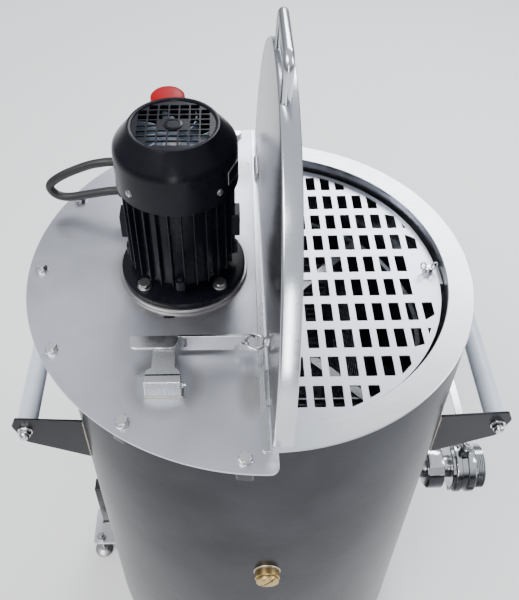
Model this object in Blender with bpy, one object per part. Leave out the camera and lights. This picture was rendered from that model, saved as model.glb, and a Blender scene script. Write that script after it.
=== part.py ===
"""Honey extractor: double-walled steel drum on levelling feet, half cover with a flanged motor,
hinged half lid, guard grille, spinning frame cage, side handles and a bottom outlet valve.

World frame: metres, +Z up, the drum axis is Z, the origin is the centre of the base plate's underside.
The cover half is at -X, the lid half is at +X, the operator stands at -Y.
"""

import math

import bmesh
import bpy
from mathutils import Matrix, Vector

GAP = 0.0003

# Drum
JACKET_R = 0.275
JACKET_WALL = 0.002
TANK_R = 0.243
TANK_WALL = 0.002
RIM_Z = 0.786
RIM_THICKNESS = 0.002
BASE_THICKNESS = 0.003
TANK_FLOOR_AT_WALL = 0.232
TANK_FLOOR_AT_CENTRE = 0.262
DRUM_STEPS = 64

# Half cover and its bolts
COVER_R = 0.305
COVER_EDGE_X = 0.008
COVER_CORNER_R = 0.010
COVER_UNDER = 0.0026
COVER_TOP = 0.0056
BOLT_CIRCLE_R = 0.289
BOLT_ANGLES = (180.0, 152.0, -152.0, 124.0, -124.0, 95.5, -95.5)
BOLT_SHANK_R = 0.004
BOLT_HOLE_R = 0.0044
BOLT_HEAD_R = 0.0075
WASHER_R = 0.008

# Lid, built closed in its hinge frame and swung open
HINGE_X = 0.001
HINGE_Z = RIM_Z + 0.0135
LID_OPEN_DEG = 88.2
LID_R = 0.282
LID_HANDLE_HALF = 0.052
LID_SHEET = 0.002
LID_SKIRT = 0.0206
LID_FLAT_X = 0.0005
LID_SKIRT_FROM_X = 0.0078
HINGE_Y = 0.200
HINGE_HALF = 0.021
KNUCKLE_R = 0.0045
PIN_R = 0.0025

# Motor
MOTOR_X = -0.1015
MOTOR_FLANGE_R = 0.080
MOTOR_CORE_R = 0.062
MOTOR_FIN_R = 0.068
MOTOR_FINS = 20
MOTOR_BORE_R = 0.052
COWL_R = 0.0715
COWL_TOP_R = 0.051
SHAFT_R = 0.007

# Guard grille
GRILLE_R = 0.237
GRILLE_EDGE_X = 0.010
GRILLE_TOP = -0.0166
GRILLE_SHEET = 0.002
GRILLE_HOLE = (0.0135, 0.030)
GRILLE_PITCH = (0.0217, 0.043)
GRILLE_MARGIN = 0.006
GRILLE_FIRST_X = 0.0323

# Handles
BRACKET_Y = 0.121
BRACKET_THICKNESS = 0.0035
BRACKET_WALL_X = 0.2484
GRIP_X = 0.330
GRIP_Z = RIM_Z - 0.193
GRIP_R = 0.0145
ROD_R = 0.005

# Outlet
OUTLET_Z = RIM_Z - 0.523
PIPE_R = 0.0205
PIPE_BORE_R = 0.0185
BALL_X = 0.3725
BALL_R = 0.025

# Drive
PULLEY_TOP = RIM_Z - 0.042
PULLEY_BOTTOM = RIM_Z - 0.062
DRIVE_PULLEY_R = 0.017
DRIVEN_PULLEY_R = 0.051
BELT_THICKNESS = 0.003
MAIN_SHAFT_R = 0.0075
CAGE_BOTTOM = 0.300
CAGE_TOP = 0.680
CAGE_R = 0.225

# Feet
LUG_TOP = 0.039
LUG_THICKNESS = 0.005
STUD_AT = (0.309, 0.025)
LUG_ANGLES = (180.0, 60.0, -60.0)
PLUG_Z = RIM_Z - 0.313

# Lid eye bolt, and the grille's wing screw.
EYE_R = 0.01075
EYE_Y = -0.145
EYE_OUT = 0.0142
EYE_UP = 0.0115
WING_X = 0.2245
WING_Y = 0.0055

# Motor heights above the rim plane.
FRAME_TOP = 0.160
COWL_BOTTOM = 0.156
FAN_DISC = 0.180
GRID_HOLE = (0.0098, 0.0078)
GRID_PITCH = (0.0118, 0.0098)
GRID_INNER_R = 0.013
SWITCH_TOP = 0.160
BUTTON_UNDER = 0.1785

# Cable, its glands and the emergency stop. Heights are above the rim plane.
GLAND_Y = 0.110
UPPER_GLAND_Z = 0.0945
LOWER_GLAND_Z = 0.045
ESTOP_X = -0.1155
ESTOP_Y = 0.110
CABLE_R = 0.006
CABLE_END_X = -0.1943
CABLE_ROUTE = (
    (CABLE_END_X, UPPER_GLAND_Z, 0.0),
    (-0.208, UPPER_GLAND_Z - 0.001, 0.0),
    (-0.232, 0.086, 0.003),
    (-0.268, 0.068, 0.006),
    (-0.2885, 0.050, 0.008),
    (-0.284, 0.0345, 0.008),
    (-0.267, 0.029, 0.007),
    (-0.236, 0.036, 0.004),
    (-0.208, LOWER_GLAND_Z - 0.001, 0.0),
    (CABLE_END_X, LOWER_GLAND_Z, 0.0),
)

for old in list(bpy.data.objects):
    bpy.data.objects.remove(old)


def material(name, colour, metallic, roughness):
    made = bpy.data.materials.new(name)
    made.use_nodes = True
    shader = made.node_tree.nodes["Principled BSDF"]
    shader.inputs["Base Color"].default_value = (*colour, 1.0)
    shader.inputs["Metallic"].default_value = metallic
    shader.inputs["Roughness"].default_value = roughness
    return made


STEEL = (0.62, 0.64, 0.67)
DARK_STEEL = (0.22, 0.22, 0.23)


def finish(name):
    """The look of a piece, by its name: (colour, metallic, roughness)."""
    looks = {
        "motor": ((0.035, 0.036, 0.040), 0.6, 0.35),
        "fan_cowl": ((0.035, 0.036, 0.040), 0.6, 0.3),
        "cooling_fan": ((0.70, 0.75, 0.82), 0.0, 0.4),
        "terminal_box": ((0.05, 0.05, 0.055), 0.2, 0.45),
        "switch_box": ((0.06, 0.06, 0.065), 0.0, 0.5),
        "estop": ((0.58, 0.01, 0.02), 0.0, 0.3),
        "cable_gland": ((0.03, 0.03, 0.03), 0.0, 0.5),
        "motor_cable": ((0.03, 0.03, 0.033), 0.0, 0.55),
        "handle_grip": ((0.80, 0.84, 0.88), 0.0, 0.35),
        "handle_bracket": (DARK_STEEL, 1.0, 0.18),
        "outer_jacket": (DARK_STEEL, 1.0, 0.32),
        "brass_plug": ((0.72, 0.55, 0.25), 1.0, 0.3),
        "cover_gasket": ((0.75, 0.75, 0.72), 0.0, 0.6),
        "drive_belt": ((0.02, 0.02, 0.02), 0.0, 0.7),
        "drive_pulley": ((0.55, 0.56, 0.58), 1.0, 0.4),
        "driven_pulley": ((0.55, 0.56, 0.58), 1.0, 0.4),
        "levelling_foot": ((0.45, 0.46, 0.47), 1.0, 0.35),
    }
    for start, look in looks.items():
        if name.startswith(start):
            return look
    return (STEEL, 1.0, 0.28)


def lathe_mesh(profile, steps):
    """A closed profile of (radius, height) turned about Z. A radius of 0 becomes a pole."""
    mesh = bmesh.new()
    rings = []
    for radius, height in profile:
        if radius == 0.0:
            rings.append([mesh.verts.new((0.0, 0.0, height))])
            continue
        ring = []
        for step in range(steps):
            angle = 2.0 * math.pi * step / steps
            ring.append(mesh.verts.new((radius * math.cos(angle), radius * math.sin(angle), height)))
        rings.append(ring)
    for first, second in zip(rings, rings[1:] + rings[:1]):
        for step in range(steps):
            after = (step + 1) % steps
            corners = []
            for vert in (
                first[step % len(first)],
                first[after % len(first)],
                second[after % len(second)],
                second[step % len(second)],
            ):
                if vert not in corners:
                    corners.append(vert)
            if len(corners) > 2:
                mesh.faces.new(corners)
    bmesh.ops.recalc_face_normals(mesh, faces=mesh.faces)
    return mesh


def prism_mesh(outline, low, high, inner=None):
    """An outline of (x, y) extruded from low to high, with an inner outline of as many points as a hole."""
    mesh = bmesh.new()
    count = len(outline)
    loops = []
    for points in (outline, inner) if inner else (outline,):
        bottom = [mesh.verts.new((x, y, low)) for x, y in points]
        top = [mesh.verts.new((x, y, high)) for x, y in points]
        loops.append((bottom, top))
        for i in range(count):
            j = (i + 1) % count
            mesh.faces.new((bottom[i], bottom[j], top[j], top[i]))
    if inner:
        for level in (0, 1):
            outside, inside = loops[0][level], loops[1][level]
            for i in range(count):
                j = (i + 1) % count
                mesh.faces.new((outside[i], outside[j], inside[j], inside[i]))
    else:
        mesh.faces.new(loops[0][0])
        mesh.faces.new(loops[0][1])
    bmesh.ops.recalc_face_normals(mesh, faces=mesh.faces)
    return mesh


def box_mesh(x, y, z):
    """A box from three (low, high) pairs."""
    return prism_mesh([(x[0], y[0]), (x[1], y[0]), (x[1], y[1]), (x[0], y[1])], z[0], z[1])


def tube_mesh(points, radius, sides):
    """A round bar along an open line of points, with flat ends and mitred corners."""
    mesh = bmesh.new()
    points = [Vector(point) for point in points]
    normal = (points[1] - points[0]).normalized().orthogonal().normalized()
    rings = []
    for index, point in enumerate(points):
        before = (point - points[index - 1]).normalized() if index else None
        after = (points[index + 1] - point).normalized() if index + 1 < len(points) else None
        along = ((before or after) + (after or before)).normalized()
        normal = (normal - along * normal.dot(along)).normalized()
        side = along.cross(normal)
        ring = []
        for step in range(sides):
            angle = 2.0 * math.pi * step / sides
            ring.append(mesh.verts.new(point + radius * (math.cos(angle) * normal + math.sin(angle) * side)))
        rings.append(ring)
    for first, second in zip(rings, rings[1:]):
        for step in range(sides):
            after = (step + 1) % sides
            mesh.faces.new((first[step], first[after], second[after], second[step]))
    mesh.faces.new(rings[0])
    mesh.faces.new(rings[-1])
    bmesh.ops.recalc_face_normals(mesh, faces=mesh.faces)
    return mesh


def turned(mesh, axis, angle_deg, centre=(0.0, 0.0, 0.0)):
    matrix = Matrix.Rotation(math.radians(angle_deg), 3, axis)
    bmesh.ops.rotate(mesh, cent=centre, matrix=matrix, verts=mesh.verts)
    return mesh


def moved(mesh, x=0.0, y=0.0, z=0.0):
    bmesh.ops.translate(mesh, vec=(x, y, z), verts=mesh.verts)
    return mesh


def cylinder(radius, low, high, steps=24):
    return lathe_mesh([(0.0, low), (radius, low), (radius, high), (0.0, high)], steps)


def along_x(mesh):
    """Turns a shape made about Z so that its Z points along +X."""
    return turned(mesh, "Y", 90.0)


def along_y(mesh):
    """Turns a shape made about Z so that its Z points along +Y."""
    return turned(mesh, "X", -90.0)


def add_object(name, mesh, pivot=(0.0, 0.0, 0.0), parent=None, helper=False):
    """Links the mesh as an object whose origin is the pivot; a helper only serves a Boolean."""
    moved(mesh, *[-value for value in pivot])
    data = bpy.data.meshes.new(name)
    mesh.to_mesh(data)
    mesh.free()
    made = bpy.data.objects.new(name, data)
    made.location = pivot
    made.parent = parent
    bpy.context.scene.collection.objects.link(made)
    if helper:
        made.hide_render = True
        made.display_type = "WIRE"
        return made
    data.shade_smooth()
    data.set_sharp_from_angle(angle=math.radians(32.0))
    data.materials.append(material(name, *finish(name)))
    return made


def piece(name, mesh, add=(), cut=(), pivot=(0.0, 0.0, 0.0), parent=None):
    """A named piece: a mesh, with other meshes joined to it and then others cut from it."""
    made = add_object(name, mesh, pivot, parent)
    for operation, tools in (("UNION", add), ("DIFFERENCE", cut)):
        for index, tool in enumerate(tools):
            label = f"{name}_{operation.lower()}_{index}"
            modifier = made.modifiers.new(label, "BOOLEAN")
            modifier.operation = operation
            modifier.object = add_object(label, tool, parent=parent, helper=True)
    return made


def joined(meshes):
    """Several shapes that don't touch, as one cutter."""
    whole = bmesh.new()
    for mesh in meshes:
        data = bpy.data.meshes.new("joined")
        mesh.to_mesh(data)
        mesh.free()
        whole.from_mesh(data)
        bpy.data.meshes.remove(data)
    return whole


def arc(radius, start_deg, end_deg, steps, centre=(0.0, 0.0)):
    points = []
    for step in range(steps + 1):
        angle = math.radians(start_deg + (end_deg - start_deg) * step / steps)
        points.append((centre[0] + radius * math.cos(angle), centre[1] + radius * math.sin(angle)))
    return points


def left_half_outline(radius, edge_x, corner, steps):
    """A disc cut off at x = edge_x, keeping the -X side, with its two corners rounded."""
    centre_x = edge_x - corner
    centre_y = math.sqrt((radius - corner) ** 2 - centre_x**2)
    turn = math.degrees(math.atan2(centre_y, centre_x))
    points = arc(corner, 0.0, turn, 4, (centre_x, centre_y))
    points += arc(radius, turn, 360.0 - turn, steps)[1:-1]
    points += arc(corner, 360.0 - turn, 360.0, 4, (centre_x, -centre_y))
    return points


def right_half_outline(radius, edge_x, steps):
    """A disc cut off at x = edge_x, keeping the +X side."""
    turn = math.degrees(math.acos(edge_x / radius))
    return arc(radius, -turn, turn, steps)


def rim(height):
    return RIM_Z + height


def build_drum():
    piece("base_plate", cylinder(JACKET_R, 0.0, BASE_THICKNESS, DRUM_STEPS))
    top = rim(-RIM_THICKNESS - GAP)
    lugs = []
    for angle in BOLT_ANGLES:
        lugs.append(turned(box_mesh((0.262, 0.299), (-0.010, 0.010), (rim(-0.022), top)), "Z", angle))
    for angle in LUG_ANGLES:
        lugs.append(
            turned(
                box_mesh((0.262, 0.323), (-0.038, 0.037), (LUG_TOP - LUG_THICKNESS, LUG_TOP)), "Z", angle
            )
        )
        lugs.append(turned(box_mesh((0.262, 0.308), (-0.034, -0.008), (LUG_TOP - 0.001, 0.174)), "Z", angle))
    boss = moved(along_y(cylinder(0.017, -0.287, -0.262, 24)), 0.004, 0.0, PLUG_Z)
    bores = []
    for angle in BOLT_ANGLES:
        bore = moved(cylinder(BOLT_HOLE_R, rim(-0.03), rim(0.01), 12), BOLT_CIRCLE_R)
        bores.append(turned(bore, "Z", angle))
    for angle in LUG_ANGLES:
        stud = moved(cylinder(0.0056, 0.02, 0.05, 12), *STUD_AT)
        bores.append(turned(stud, "Z", angle))
    piece(
        "outer_jacket",
        cylinder(JACKET_R, BASE_THICKNESS + GAP, top, DRUM_STEPS),
        add=[*lugs, boss],
        cut=[
            cylinder(JACKET_R - JACKET_WALL, -0.01, 0.9, DRUM_STEPS),
            along_outlet(cylinder(PIPE_R + GAP, 0.26, 0.29, 24)),
            moved(along_y(cylinder(0.0125, -0.30, -0.25, 20)), 0.004, 0.0, PLUG_Z),
            joined(bores),
        ],
    )
    inner = TANK_R
    outer = TANK_R + TANK_WALL
    wall_z = TANK_FLOOR_AT_WALL
    centre_z = TANK_FLOOR_AT_CENTRE
    cup = [(0.0085, centre_z - 0.0005), (0.016, centre_z - 0.003), (0.016, 0.280), (0.0085, 0.280)]
    cup = lathe_mesh(cup, 20)
    piece(
        "inner_tank",
        lathe_mesh(
            [
                (0.0, centre_z),
                (inner, wall_z),
                (inner, top),
                (outer, top),
                (outer, wall_z - TANK_WALL),
                (0.0, centre_z - TANK_WALL),
            ],
            DRUM_STEPS,
        ),
        add=[cup],
        cut=[along_outlet(cylinder(PIPE_R + GAP, 0.23, 0.26, 24))],
    )
    piece(
        "rim_ring",
        lathe_mesh(
            [
                (TANK_R, rim(-RIM_THICKNESS)),
                (JACKET_R, rim(-RIM_THICKNESS)),
                (JACKET_R, rim(0.0)),
                (TANK_R, rim(0.0)),
            ],
            DRUM_STEPS,
        ),
    )
    plug = along_y(cylinder(0.0122, -0.2875, -0.270, 20))
    head = along_y(cylinder(0.0155, -0.293, -0.2873, 6))
    piece(
        "brass_plug",
        moved(plug, 0.004, 0.0, PLUG_Z),
        add=[moved(head, 0.004, 0.0, PLUG_Z)],
        cut=[box_mesh((0.0, 0.008), (-0.30, -0.2905), (PLUG_Z - 0.02, PLUG_Z + 0.02))],
    )
    for index, angle in enumerate(LUG_ANGLES):
        foot = lathe_mesh(
            [
                (0.0, -0.014),
                (0.018, -0.014),
                (0.018, -0.008),
                (0.005, -0.004),
                (0.005, 0.0255),
                (0.0085, 0.0255),
                (0.0085, LUG_TOP - LUG_THICKNESS - GAP),
                (0.005, LUG_TOP - LUG_THICKNESS - GAP),
                (0.005, LUG_TOP + GAP),
                (0.0085, LUG_TOP + GAP),
                (0.0085, LUG_TOP + 0.008),
                (0.005, LUG_TOP + 0.008),
                (0.005, LUG_TOP + 0.014),
                (0.0, LUG_TOP + 0.014),
            ],
            10,
        )
        piece(f"levelling_foot_{index + 1}", turned(moved(foot, *STUD_AT), "Z", angle))




def along_outlet(mesh):
    """Puts a shape made about Z on the outlet's axis, its Z along +X."""
    return moved(along_x(mesh), z=OUTLET_Z)


def build_cover():
    holes = [moved(cylinder(0.020, rim(-0.01), rim(0.02), 24), MOTOR_X)]
    for angle in BOLT_ANGLES:
        hole = moved(cylinder(BOLT_HOLE_R, rim(-0.01), rim(0.02), 12), BOLT_CIRCLE_R)
        holes.append(turned(hole, "Z", angle))
    holes.append(box_mesh((-0.124, -0.110), (-0.090, -0.086), (rim(-0.01), rim(0.02))))
    piece(
        "half_cover",
        prism_mesh(
            left_half_outline(COVER_R, COVER_EDGE_X, COVER_CORNER_R, 48), rim(COVER_UNDER), rim(COVER_TOP)
        ),
        cut=[joined(holes)],
    )
    piece(
        "cover_gasket",
        prism_mesh(
            arc(0.2715, 89.0, 271.0, 36),
            rim(GAP),
            rim(COVER_UNDER - GAP),
            inner=arc(0.2465, 89.0, 271.0, 36),
        ),
    )
    for index, angle in enumerate(BOLT_ANGLES):
        washer_top = COVER_TOP + GAP + 0.0016
        bolt = lathe_mesh(
            [
                (0.0, rim(-0.024)),
                (BOLT_SHANK_R, rim(-0.024)),
                (BOLT_SHANK_R, rim(COVER_TOP + GAP)),
                (WASHER_R, rim(COVER_TOP + GAP)),
                (WASHER_R, rim(washer_top)),
                (0.0, rim(washer_top)),
            ],
            12,
        )
        head = cylinder(BOLT_HEAD_R, rim(washer_top - 0.0004), rim(washer_top + 0.0053), 6)
        place = Matrix.Rotation(math.radians(angle), 4, "Z") @ Matrix.Translation((BOLT_CIRCLE_R, 0.0, 0.0))
        for mesh in (bolt, head):
            mesh.transform(place)
        piece(f"cover_bolt_{index + 1}", bolt, add=[head])
    strip = [(-0.0005, -0.280), (-0.0005, 0.300), (-0.0050, 0.300), (-0.0120, -0.272), (-0.0100, -0.278)]
    knuckles = []
    for side in (-1.0, 1.0):
        low = side * HINGE_Y - HINGE_HALF
        knuckles.append(hinge_cylinder(KNUCKLE_R, low, low + HINGE_HALF - GAP))
        web = (rim(0.0069), HINGE_Z - 0.0011)
        knuckles.append(box_mesh((-0.0033, 0.0013), (low + 0.0005, low + 0.020), web))
        knuckles.append(hinge_cylinder(PIN_R, low + 0.005, low + 2.0 * HINGE_HALF))
    piece("hinge_strip", prism_mesh(strip, rim(COVER_TOP + GAP), rim(0.0079)), add=knuckles)
    box = box_mesh((-0.139, -0.097), (-0.207, -0.194), (rim(COVER_TOP + GAP), rim(0.0331)))
    shape = [(-0.139, -0.195), (-0.097, -0.195), (-0.104, -0.186)]
    shape += [(-0.104, -0.160), (-0.131, -0.160), (-0.131, -0.186)]
    tongue = prism_mesh(shape, rim(0.0301), rim(0.0331))
    hollow = box_mesh((-0.137, -0.099), (-0.205, -0.150), (rim(0.0), rim(0.0300)))
    piece("rest_bracket", box, add=[tongue], cut=[hollow])


def hinge_cylinder(radius, low, high):
    return moved(along_y(cylinder(radius, low, high, 14)), HINGE_X, 0.0, HINGE_Z)


def build_lid():
    axis = bpy.data.objects.new("lid_axis", None)
    axis.location = (HINGE_X, 0.0, HINGE_Z)
    axis.rotation_euler = (0.0, math.radians(-LID_OPEN_DEG), 0.0)
    bpy.context.scene.collection.objects.link(axis)
    outline = [(x - HINGE_X, y) for x, y in right_half_outline(LID_R, HINGE_X + LID_FLAT_X, 48)]
    inside = [(x - HINGE_X, y) for x, y in right_half_outline(LID_R - LID_SHEET, -0.020, 52)]
    notches = []
    for side in (-1.0, 1.0):
        middle = side * HINGE_Y
        ends = (middle - HINGE_HALF - 0.001, middle + HINGE_HALF + 0.001)
        notches.append(box_mesh((-0.01, 0.0052), ends, (-0.01, 0.01)))
    piece(
        "lid_pan",
        prism_mesh(outline, -LID_SKIRT, 0.0),
        cut=[
            prism_mesh(inside, -0.04, -LID_SHEET),
            box_mesh((-0.02, LID_SKIRT_FROM_X), (-0.3, 0.3), (-0.05, -LID_SHEET)),
            joined(notches),
        ],
        parent=axis,
    )
    bar_x = 0.3235 - HINGE_X
    foot_x = 0.2790 - HINGE_X
    bar_z = -0.35 * LID_SKIRT
    corner = 0.010
    route = [(foot_x, -LID_HANDLE_HALF, bar_z)]
    for x, y in arc(corner, -90.0, 0.0, 4, (bar_x - corner, -LID_HANDLE_HALF + corner)):
        route.append((x, y, bar_z))
    for x, y in arc(corner, 0.0, 90.0, 4, (bar_x - corner, LID_HANDLE_HALF - corner)):
        route.append((x, y, bar_z))
    route.append((foot_x, LID_HANDLE_HALF, bar_z))
    piece("lid_handle", tube_mesh(route, 0.006, 12), parent=axis)
    ring_z = EYE_OUT
    ring = lathe_mesh([(EYE_R + 0.00175 * c, 0.00175 * s) for c, s in arc(1.0, 0.0, 315.0, 7)], 24)
    ring = moved(along_x(ring), EYE_UP, EYE_Y, ring_z)
    foot = moved(cylinder(0.006, GAP, 0.0032, 14), EYE_UP, EYE_Y)
    piece("lid_eye_bolt", ring, add=[foot], parent=axis)
    for side, label in ((-1.0, "front"), (1.0, "back")):
        low = side * HINGE_Y + GAP
        high = side * HINGE_Y + HINGE_HALF
        leaf = box_mesh((0.0, 0.020), (low, high), (-0.0043, -LID_SHEET - GAP))
        barrel = along_y(cylinder(KNUCKLE_R, low, high, 14))
        bore = along_y(cylinder(PIN_R + GAP, low - 0.001, high + 0.001, 14))
        piece(f"lid_hinge_leaf_{label}", barrel, add=[leaf], cut=[bore], parent=axis)




def build_stay():
    pivot = (-0.024, -0.1435, rim(0.025))
    bar = box_mesh((-0.103, -0.012), (-0.145, -0.142), (rim(0.011), rim(0.0365)))
    tab_outline = [(-0.100, -0.1422), (-0.158, -0.1422), (-0.158, -0.154)]
    tab_outline += [(-0.155, -0.1595), (-0.149, -0.161)]
    tab_outline += [(-0.109, -0.161), (-0.104, -0.159), (-0.100, -0.153)]
    tab = prism_mesh(tab_outline, rim(0.0334), rim(0.0363))
    notch = box_mesh((-0.036, -0.030), (-0.15, -0.13), (rim(0.0), rim(0.020)))
    eye = moved(along_y(cylinder(0.0048, -0.15, -0.13, 16)), pivot[0], 0.0, pivot[2])
    piece("stay_bar", bar, add=[tab], cut=[notch, eye], pivot=pivot)


def clipped_hole(left, right, near, far, edge):
    """The outline of a rectangular hole with its outer end cut off along the circle of this radius."""
    flip = 1.0 if near + far >= 0.0 else -1.0
    near, far = sorted((flip * near, flip * far))
    if math.hypot(left, near) > edge or right > edge:
        return []
    tall = [min(far, math.sqrt(edge**2 - x**2)) for x in (left, right)]
    if tall[0] - near < 0.008:
        return []
    outline = [(left, near)]
    if tall[1] - near > 0.003:
        outline.append((right, near))
        outline.append((right, tall[1]))
    else:
        outline.append((math.sqrt(edge**2 - (near + 0.001) ** 2), near))
    outline.append((left, tall[0]))
    if flip < 0.0:
        outline = [(x, -y) for x, y in reversed(outline)]
    return outline


def build_grille():
    low = rim(GRILLE_TOP - GRILLE_SHEET)
    holes = []
    width, length = GRILLE_HOLE
    for column in range(10):
        for row in range(10):
            x = GRILLE_FIRST_X + GRILLE_PITCH[0] * column
            y = (row - 4.5) * GRILLE_PITCH[1]
            ends = [y - length / 2.0, y + length / 2.0]
            if x + width > 0.205 and ends[0] < 0.022 and ends[1] > -0.012:
                continue
            outline = clipped_hole(x, x + width, ends[0], ends[1], GRILLE_R - GRILLE_MARGIN)
            if outline:
                holes.append(prism_mesh(outline, low - 0.01, low + 0.01))
    screw_hole = moved(cylinder(0.0034, low - 0.01, low + 0.01, 12), WING_X, WING_Y)
    piece(
        "guard_grille",
        prism_mesh(right_half_outline(GRILLE_R, GRILLE_EDGE_X, 32), low, low + GRILLE_SHEET),
        cut=[joined(holes), screw_hole],
        pivot=(GRILLE_EDGE_X, 0.0, low + GRILLE_SHEET / 2.0),
    )
    top = low + GRILLE_SHEET + GAP
    shank = lathe_mesh(
        [
            (0.0, top - 0.013),
            (0.003, top - 0.013),
            (0.003, top),
            (0.0065, top),
            (0.0055, top + 0.008),
            (0.0, top + 0.008),
        ],
        14,
    )
    half_wing = [(0.0, 0.004), (0.004, 0.004), (0.0115, 0.017), (0.007, 0.018)]
    outline = half_wing + [(0.0, 0.009)] + [(-x, z) for x, z in reversed(half_wing[1:])]
    wing = prism_mesh(outline, -0.001, 0.001)
    wing = moved(turned(wing, "X", 90.0), z=top - 0.001)
    moved(shank, WING_X, WING_Y)
    moved(wing, WING_X, WING_Y)
    piece("wing_screw", shank, add=[wing], pivot=(WING_X, WING_Y, top))
    ledge_top = low - GAP
    shelf = box_mesh((0.214, 0.2420), (-0.015, 0.017), (ledge_top - 0.003, ledge_top))
    tab = box_mesh((0.2395, 0.2420), (-0.015, 0.017), (ledge_top - 0.030, ledge_top - 0.0005))
    bore = moved(cylinder(0.0040, ledge_top - 0.02, ledge_top + 0.01, 14), WING_X, WING_Y)
    piece("grille_ledge", shelf, add=[tab], cut=[bore])




def build_handles():
    outline = [
        (BRACKET_WALL_X, -0.172),
        (0.340, -0.165),
        (0.347, -0.181),
        (0.335, -0.221),
        (BRACKET_WALL_X, -0.264),
    ]
    half = BRACKET_THICKNESS / 2.0
    for side, label in ((-1.0, "left"), (1.0, "right")):
        for end, place in ((-1.0, "front"), (1.0, "back")):
            plate = prism_mesh([(x, -height) for x, height in outline], -half, half)
            plate = moved(turned(plate, "X", -90.0), 0.0, end * BRACKET_Y, RIM_Z)
            bore = moved(along_y(cylinder(ROD_R + GAP, -0.01, 0.01, 14)), GRIP_X, end * BRACKET_Y, GRIP_Z)
            if side < 0.0:
                turned(plate, "Z", 180.0, (0.0, end * BRACKET_Y, 0.0))
                turned(bore, "Z", 180.0, (0.0, end * BRACKET_Y, 0.0))
            piece(f"handle_bracket_{label}_{place}", plate, cut=[bore])
        reach = BRACKET_Y - half - GAP
        grip = lathe_mesh(
            [
                (ROD_R + GAP, -reach),
                (GRIP_R - 0.002, -reach),
                (GRIP_R, -reach + 0.004),
                (GRIP_R, reach - 0.004),
                (GRIP_R - 0.002, reach),
                (ROD_R + GAP, reach),
            ],
            20,
        )
        piece(f"handle_grip_{label}", moved(along_y(grip), side * GRIP_X, 0.0, GRIP_Z))
        nut = BRACKET_Y + half + GAP
        rod = lathe_mesh(
            [
                (0.0, -nut - 0.012),
                (0.005, -nut - 0.011),
                (0.0085, -nut - 0.007),
                (0.0085, -nut),
                (ROD_R, -nut),
                (ROD_R, nut),
                (0.0085, nut),
                (0.0085, nut + 0.007),
                (0.005, nut + 0.011),
                (0.0, nut + 0.012),
            ],
            14,
        )
        piece(f"handle_rod_{label}", moved(along_y(rod), side * GRIP_X, 0.0, GRIP_Z))


def build_outlet():
    pipe = [(PIPE_BORE_R, 0.2426), (PIPE_R, 0.2426), (PIPE_R, 0.3507), (PIPE_BORE_R, 0.3507)]
    piece("outlet_pipe", along_outlet(lathe_mesh(pipe, 24)))
    nut = [(PIPE_R + GAP, 0.307), (0.036, 0.307), (0.039, 0.310), (0.039, 0.335), (0.036, 0.338)]
    nut.append((PIPE_R + GAP, 0.338))
    piece("union_nut", along_outlet(lathe_mesh(nut, 24)))
    ball_room = BALL_R + 0.0014
    reach = math.sqrt(ball_room**2 - PIPE_BORE_R**2)
    turn = math.degrees(math.atan2(PIPE_BORE_R, reach))
    cavity = [(y, x) for x, y in arc(ball_room, turn, 180.0 - turn, 5, (BALL_X, 0.0))]
    body = [
        (PIPE_BORE_R, 0.351),
        (0.043, 0.351),
        (0.046, 0.354),
        (0.046, 0.391),
        (0.043, 0.394),
        (0.039, 0.394),
        (0.039, 0.411),
        (PIPE_BORE_R, 0.411),
    ]
    stem_hole = moved(cylinder(0.0056, OUTLET_Z, OUTLET_Z + 0.06, 16), BALL_X)
    piece("valve_body", along_outlet(lathe_mesh(body + cavity, 20)), cut=[stem_hole])
    ball = [(y, x) for x, y in arc(BALL_R, 0.0, 180.0, 8)]
    ball = [(0.0 if radius < 1e-6 else radius, height) for radius, height in ball]
    stem = moved(cylinder(0.005, OUTLET_Z + 0.015, rim(-0.4492), 16), BALL_X)
    bore = moved(along_y(cylinder(0.0175, -0.04, 0.04, 20)), BALL_X, 0.0, OUTLET_Z)
    piece(
        "valve_ball",
        moved(lathe_mesh(ball, 16), BALL_X, 0.0, OUTLET_Z),
        add=[stem],
        cut=[bore],
        pivot=(BALL_X, 0.0, OUTLET_Z),
    )
    hub = moved(cylinder(0.011, rim(-0.4760), rim(-0.4495), 20), BALL_X)
    lever = [(BALL_X - 0.0075, 0.0), (BALL_X + 0.0075, 0.0)]
    lever += [(BALL_X + 0.0075, 0.138), (BALL_X + 0.004, 0.145)]
    lever += [(BALL_X - 0.004, 0.145), (BALL_X - 0.0075, 0.138)]
    blade = prism_mesh(lever, rim(-0.4535), rim(-0.4500))
    bore = moved(cylinder(0.005 + GAP, rim(-0.49), rim(-0.44), 16), BALL_X)
    piece("valve_lever", hub, add=[blade], cut=[bore], pivot=(BALL_X, 0.0, rim(-0.450)))


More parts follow.
